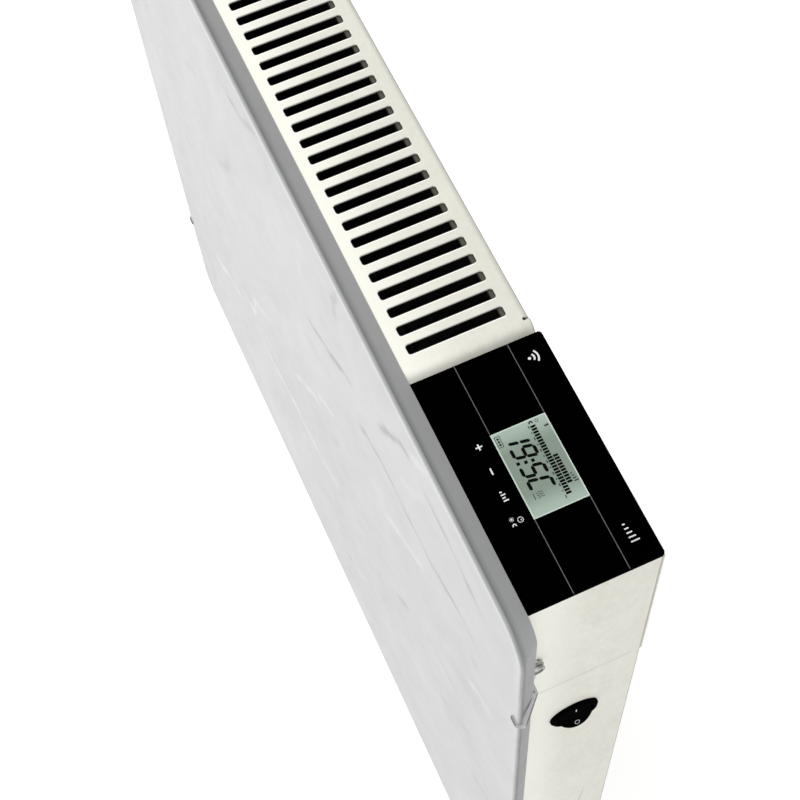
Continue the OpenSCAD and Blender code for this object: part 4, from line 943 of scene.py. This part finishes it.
# A thin frame with three dots in it, and four rising bars
frame_line = 0.00022
for line_y in (-0.0510, -0.0529):
    faint.append(bar_edges((0.1663, line_y), (0.1711, line_y), frame_line))
for line_x in (0.1664, 0.1711):
    faint.append(bar_edges((line_x, -0.0529), (line_x, -0.0510), frame_line))
for i in range(3):
    faint.append(disc_edges((0.1675 + i * 0.00125, -0.05195), 0.0005))
for i in range(4):
    faint.append(upright_bar(np.array([0.1912 + i * 0.0011, -0.0337]), 0.0006 + 0.0004 * i, 0.0005))
print_marks("display_signs", faint, flat_at(lcd_high.z), pale_ink, "heater")


# Touch board and power board
# Two green glass-fibre boards: one under the glass with its rubber touch pads, one upright behind it.
# The upright one carries a transformer, a relay, capacitors, a radio module and the wire connector.
board_green, place = start_finish("circuit_board")
lanes = place.node("TexBrick", {"offset": 0.37, "squash": 1.0}, {
    "Vector": stretched(place, (1.0, 1.0, 1.0), (math.radians(90), 0.0, 0.0)),
    "Scale": 60.0,
    "Mortar Size": 0.012,
    "Mortar Smooth": 0.1,
    "Brick Width": 0.9,
    "Row Height": 0.12,
}, pick=1)
pads = place.node("TexVoronoi", {"feature": "F1"}, {"Vector": place, "Scale": 190.0, "Randomness": 0.35})
pad = fade(pads, 0.16, 0.2, 1.0, 0.0) * fade(clouds(place, 0.012), 0.5, 0.54)
mask_colour = cloudy(place, 0.008, (0.012, 0.085, 0.03), (0.018, 0.115, 0.045))
board_colour = mix(lanes, mask_colour, (0.03, 0.17, 0.07))
end_finish(place, {
    "Base Color": mix(pad, board_colour, (0.62, 0.60, 0.55)),
    "Metallic": pad * 0.9,
    "Roughness": cloudy(place, 0.004, 0.3, 0.42),
    "Normal": bump(lanes * 0.6 + pad, 0.00004),
})
dress(board_green, "touch_board", "power_board")

pad_rubber = plain_finish("pad_rubber", (0.0015, (0.035, 0.035, 0.037), (0.075, 0.075, 0.078), 4.0),
                          (0.001, 0.75, 0.9), (0.0004, 4.0), 0.00006)
dress(pad_rubber, "touch_pads")

tape, place = start_finish("transformer_tape")
core_low, core_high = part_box("transformer")
tape_z = coordinate(place, 2)
from_middle = (tape_z - (core_low.z + core_high.z) / 2).math("ABSOLUTE")
winding = fade(from_middle, 0.0066, 0.0068, 1.0, 0.0)
lamina_pitch = 0.0007
laminae = (tape_z * (2 * math.pi / lamina_pitch)).math("SINE") * 0.5 + 0.5
core_colour = ramp(laminae, (0.2, (0.03, 0.03, 0.032)), (0.8, (0.075, 0.075, 0.08)))
tape_colour = cloudy(place, 0.005, (0.52, 0.34, 0.05), (0.62, 0.43, 0.08))
end_finish(place, {
    "Base Color": mix(winding, core_colour, tape_colour),
    "Roughness": cloudy(place, 0.003, 0.35, 0.5),
    "Normal": bump(laminae * (1 - winding) + clouds(place, 0.002) * 0.3, 0.00008),
})
dress(tape, "transformer")

relay_blue = plain_finish("relay_plastic", (0.006, (0.02, 0.085, 0.34), (0.035, 0.11, 0.40), 4.0),
                          (0.0015, 0.28, 0.42), (0.0005,), 0.000015)
dress(relay_blue, "power_relay")

sleeve, place = start_finish("capacitor_sleeve")
cans_low, cans_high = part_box("capacitors")
can_end = fade(coordinate(place, 2), cans_high.z - 0.0004, cans_high.z - 0.0001)
stripe = fade(coordinate(place, 0), cans_low.x + 0.0022, cans_low.x + 0.0024, 1.0, 0.0)
sleeve_colour = mix(stripe, cloudy(place, 0.004, 0.008, 0.016), (0.35, 0.36, 0.37))
end_finish(place, {
    "Base Color": mix(can_end, sleeve_colour, (0.6, 0.6, 0.62)),
    "Metallic": can_end,
    "Roughness": cloudy(place, 0.002, 0.25, 0.38),
    "Normal": bump(clouds(place, 0.0008), 0.00001),
})
dress(sleeve, "capacitors")

shield, place = start_finish("shield_can")
module_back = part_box("radio_module")[1].y
carrier = fade(coordinate(place, 1), module_back - 0.0012, module_back - 0.0010)
shield_colour = cloudy(place, 0.006, (0.55, 0.56, 0.58), (0.66, 0.67, 0.68))
end_finish(place, {
    "Base Color": mix(carrier, shield_colour, (0.015, 0.02, 0.06)),
    "Metallic": 1 - carrier,
    "Roughness": cloudy(place, 0.003, 0.3, 0.42),
    "Normal": bump(clouds(stretched(place, (1.0, 1.0, 12.0)), 0.0004), 0.000008),
})
dress(shield, "radio_module")

nylon = plain_finish("white_nylon", (0.007, (0.66, 0.655, 0.62), (0.76, 0.755, 0.73), 4.0),
                     (0.002, 0.35, 0.5), (0.0006,), 0.00001)
dress(nylon, "board_standoffs", "board_connector", "terminal_block", "room_sensor")


# Rocker switch
# A round black snap-in switch in the heater's end, its rocker dished, with a ring printed on the OFF half
# and a bar on the ON half. Three flat brass blades stand out of its back.
black_moulding, place = start_finish("black_moulding")
end_finish(place, {
    "Base Color": cloudy(place, 0.003, 0.0004, 0.0009, 4.0),
    "Roughness": 0.6,
    "Specular IOR Level": 0.0,
    "Coat Weight": cloudy(place, 0.002, 0.008, 0.016),
    "Coat Roughness": 0.35,
    "Normal": bump(clouds(place, 0.0004), 0.00001),
})
dress(black_moulding, "switch_body", "switch_rocker")

pivot = Vector((0.2344, -0.0457, -0.0345))
rocker_turn = math.radians(12)
rocker_half = 0.0082
rocker_rise = 0.003
rocker_dip = 0.0012


def on_rocker(points):
    """Lays flat points on the rocker's dished face, rise - dip (1 - (up / half)^2) off its pivot.

    Flat x runs along the wall's depth and flat y up the rocker, and the level rocker turns by 12 degrees.
    """
    along, up, height = points[..., 0], points[..., 1], points[..., 2]
    out = rocker_rise - rocker_dip * (1 - (up / rocker_half) ** 2) + height
    turned_out = out * math.cos(rocker_turn) - up * math.sin(rocker_turn)
    turned_up = out * math.sin(rocker_turn) + up * math.cos(rocker_turn)
    return np.stack([pivot.x + turned_out, pivot.y + along, pivot.z + turned_up], axis=-1)


off_ring = arc_edges((0.0002, -0.0056), 0.00112, 0.00024, steps=32)
on_bar = bar_edges((0.0003, 0.0030), (0.0003, 0.0056), 0.0004)
print_marks("rocker_signs", [off_ring, on_bar], on_rocker, white_ink, "rocker")

brass, place = start_finish("brass")
brushed = clouds(stretched(place, (8.0, 1.0, 1.0)), 0.0006)
end_finish(place, {
    "Base Color": cloudy(place, 0.006, (0.50, 0.33, 0.11), (0.66, 0.47, 0.19), 4.0),
    "Metallic": 1.0,
    "Roughness": ramp(brushed, (0.3, 0.24), (0.7, 0.4)),
    "Normal": bump(brushed, 0.000008),
})
dress(brass, "switch_terminals", "element_studs", "earth_stud")


# Convector element
# A steel tube bent into a U carries a stack of thin aluminium fins, and hangs in ceramic bushes.
# A thermal cut-out on its own bracket watches it from above.
fin_metal, place = start_finish("fin_aluminium")
heat = fade(clouds(place, 0.05), 0.35, 0.7)
# The fins are painted a dark grey as shade deep in the housing, browner in clouds
end_finish(place, {
    "Base Color": mix(heat, (0.20, 0.20, 0.205), (0.13, 0.115, 0.10)),
    "Metallic": 1.0,
    "Roughness": cloudy(place, 0.004, 0.4, 0.6),
    "Normal": bump(clouds(stretched(place, (1.0, 1.0, 9.0)), 0.0007), 0.00001),
})
dress(fin_metal, "convector_element")

bisque = plain_finish("ceramic", (0.002, (0.60, 0.57, 0.50), (0.74, 0.72, 0.66), 5.0),
                      (0.003, 0.5, 0.7), (0.0005, 4.0), 0.00004)
dress(bisque, "ceramic_bushes")


# Supply fittings
# The mains cable comes in through a nylon gland in the floor of the housing, held by its ribbed nut.
# The cut-out's case and the spacers' rubber feet are black as well.
gland_black = plain_finish("black_nylon", (0.003, 0.006, 0.012, 4.0),
                           (0.001, 0.42, 0.6), (0.0005,), 0.00002, specular=0.35)
dress(gland_black, "cable_gland", "gland_nut", "thermal_cutout", "spacer_feet")


# Slab clips
# Four bent grey clips on the housing's ends hook round the slab's arrises.
# Each is held by a knurled nickel-plated screw, tightened by hand.
clip_grey, place = start_finish("clip_grey")
clip_x, clip_y = [coordinate(place, axis) for axis in range(2)]
# The arm is painted light against its shadow, the hook painted darker as shade towards its front, darkest on
# the lip itself, and the arm's bent shoulder is in painted shade
arm_painted_light = cloudy(place, 0.004, (0.61, 0.605, 0.615), (0.74, 0.735, 0.745), 5.0)
hook_painted_shade = mix(fade(clip_y, -0.0822, -0.0782, 1.0, 0.0), arm_painted_light, (0.34, 0.335, 0.34))
hook_painted_shade = mix(fade(clip_y, -0.0829, -0.0825, 1.0, 0.0), hook_painted_shade, (0.1, 0.098, 0.1))
arm_edge = fade(clip_x.math("ABSOLUTE") + clip_y, 0.1716, 0.1721)
end_finish(place, {
    "Base Color": mix(arm_edge, hook_painted_shade, (0.21, 0.205, 0.2)),
    "Roughness": cloudy(place, 0.002, 0.38, 0.55),
    "Specular IOR Level": 0.4,
    "Normal": bump(clouds(place, 0.0007, 4.0), 0.00003),
})
dress(clip_grey, "slab_clips")

head_radius = 0.0038
knurl_count = 26
knurl_depth = 0.00028
# Profile of a screw from its shank's end to its dished face: radius, place along its axis, share of knurl
screw_profile = np.array([
    (0.0, 0.0, 0), (0.0016, 0.0, 0), (0.0016, 0.0004, 0), (0.0034, 0.0004, 0), (head_radius, 0.0007, 1),
    (head_radius, 0.0019, 1), (0.0034, 0.0022, 0), (0.0029, 0.0023, 0), (0.0029, 0.0026, 0),
    (0.0034, 0.0027, 0), (0.0036, 0.0029, 0), (0.0036, 0.0034, 0), (0.0033, 0.0037, 0),
    (0.0026, 0.0037, 0), (0.0023, 0.0032, 0), (0.0012, 0.0033, 0), (0.0, 0.0034, 0),
])
turn = np.linspace(0, 2 * math.pi, knurl_count * 4 + 1)[:, None]
tooth = np.abs((turn * knurl_count / math.pi) % 2 - 1)
radius = screw_profile[:, 0] - knurl_depth * tooth * screw_profile[:, 2]
screws_low, screws_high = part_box("clip_screws")
screw_y = (screws_low.y + screws_high.y) / 2
screw_z = [screws_high.z - head_radius, screws_low.z + head_radius]
screws = []
for side in (-1, 1):
    for z in screw_z:
        x = side * (-housing_low.x + screw_profile[:, 1] + 0 * turn)
        screws.append(np.stack([x, screw_y + radius * np.cos(turn), z + radius * np.sin(turn)], axis=2))
heads = make_piece("knurled_screws", screws, 28.0)
nickel = plain_finish("nickel_plate", (0.002, (0.34, 0.335, 0.32), (0.46, 0.455, 0.44), 4.0),
                      (0.001, 0.3, 0.42), (0.0006,), 0.00001, metal=1.0)
heads.data.materials.append(nickel)
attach(heads, "heater")
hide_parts("clip_screws")


# Hook rivets
# Two aluminium blind rivets fix each hanging hook to the rear panel.
rivet_metal = plain_finish("rivet_aluminium", (0.002, (0.62, 0.62, 0.63), (0.74, 0.74, 0.75), 4.0),
                           (0.001, 0.3, 0.45), (0.0006,), 0.00001, metal=1.0)
dress(rivet_metal, "hook_rivets")
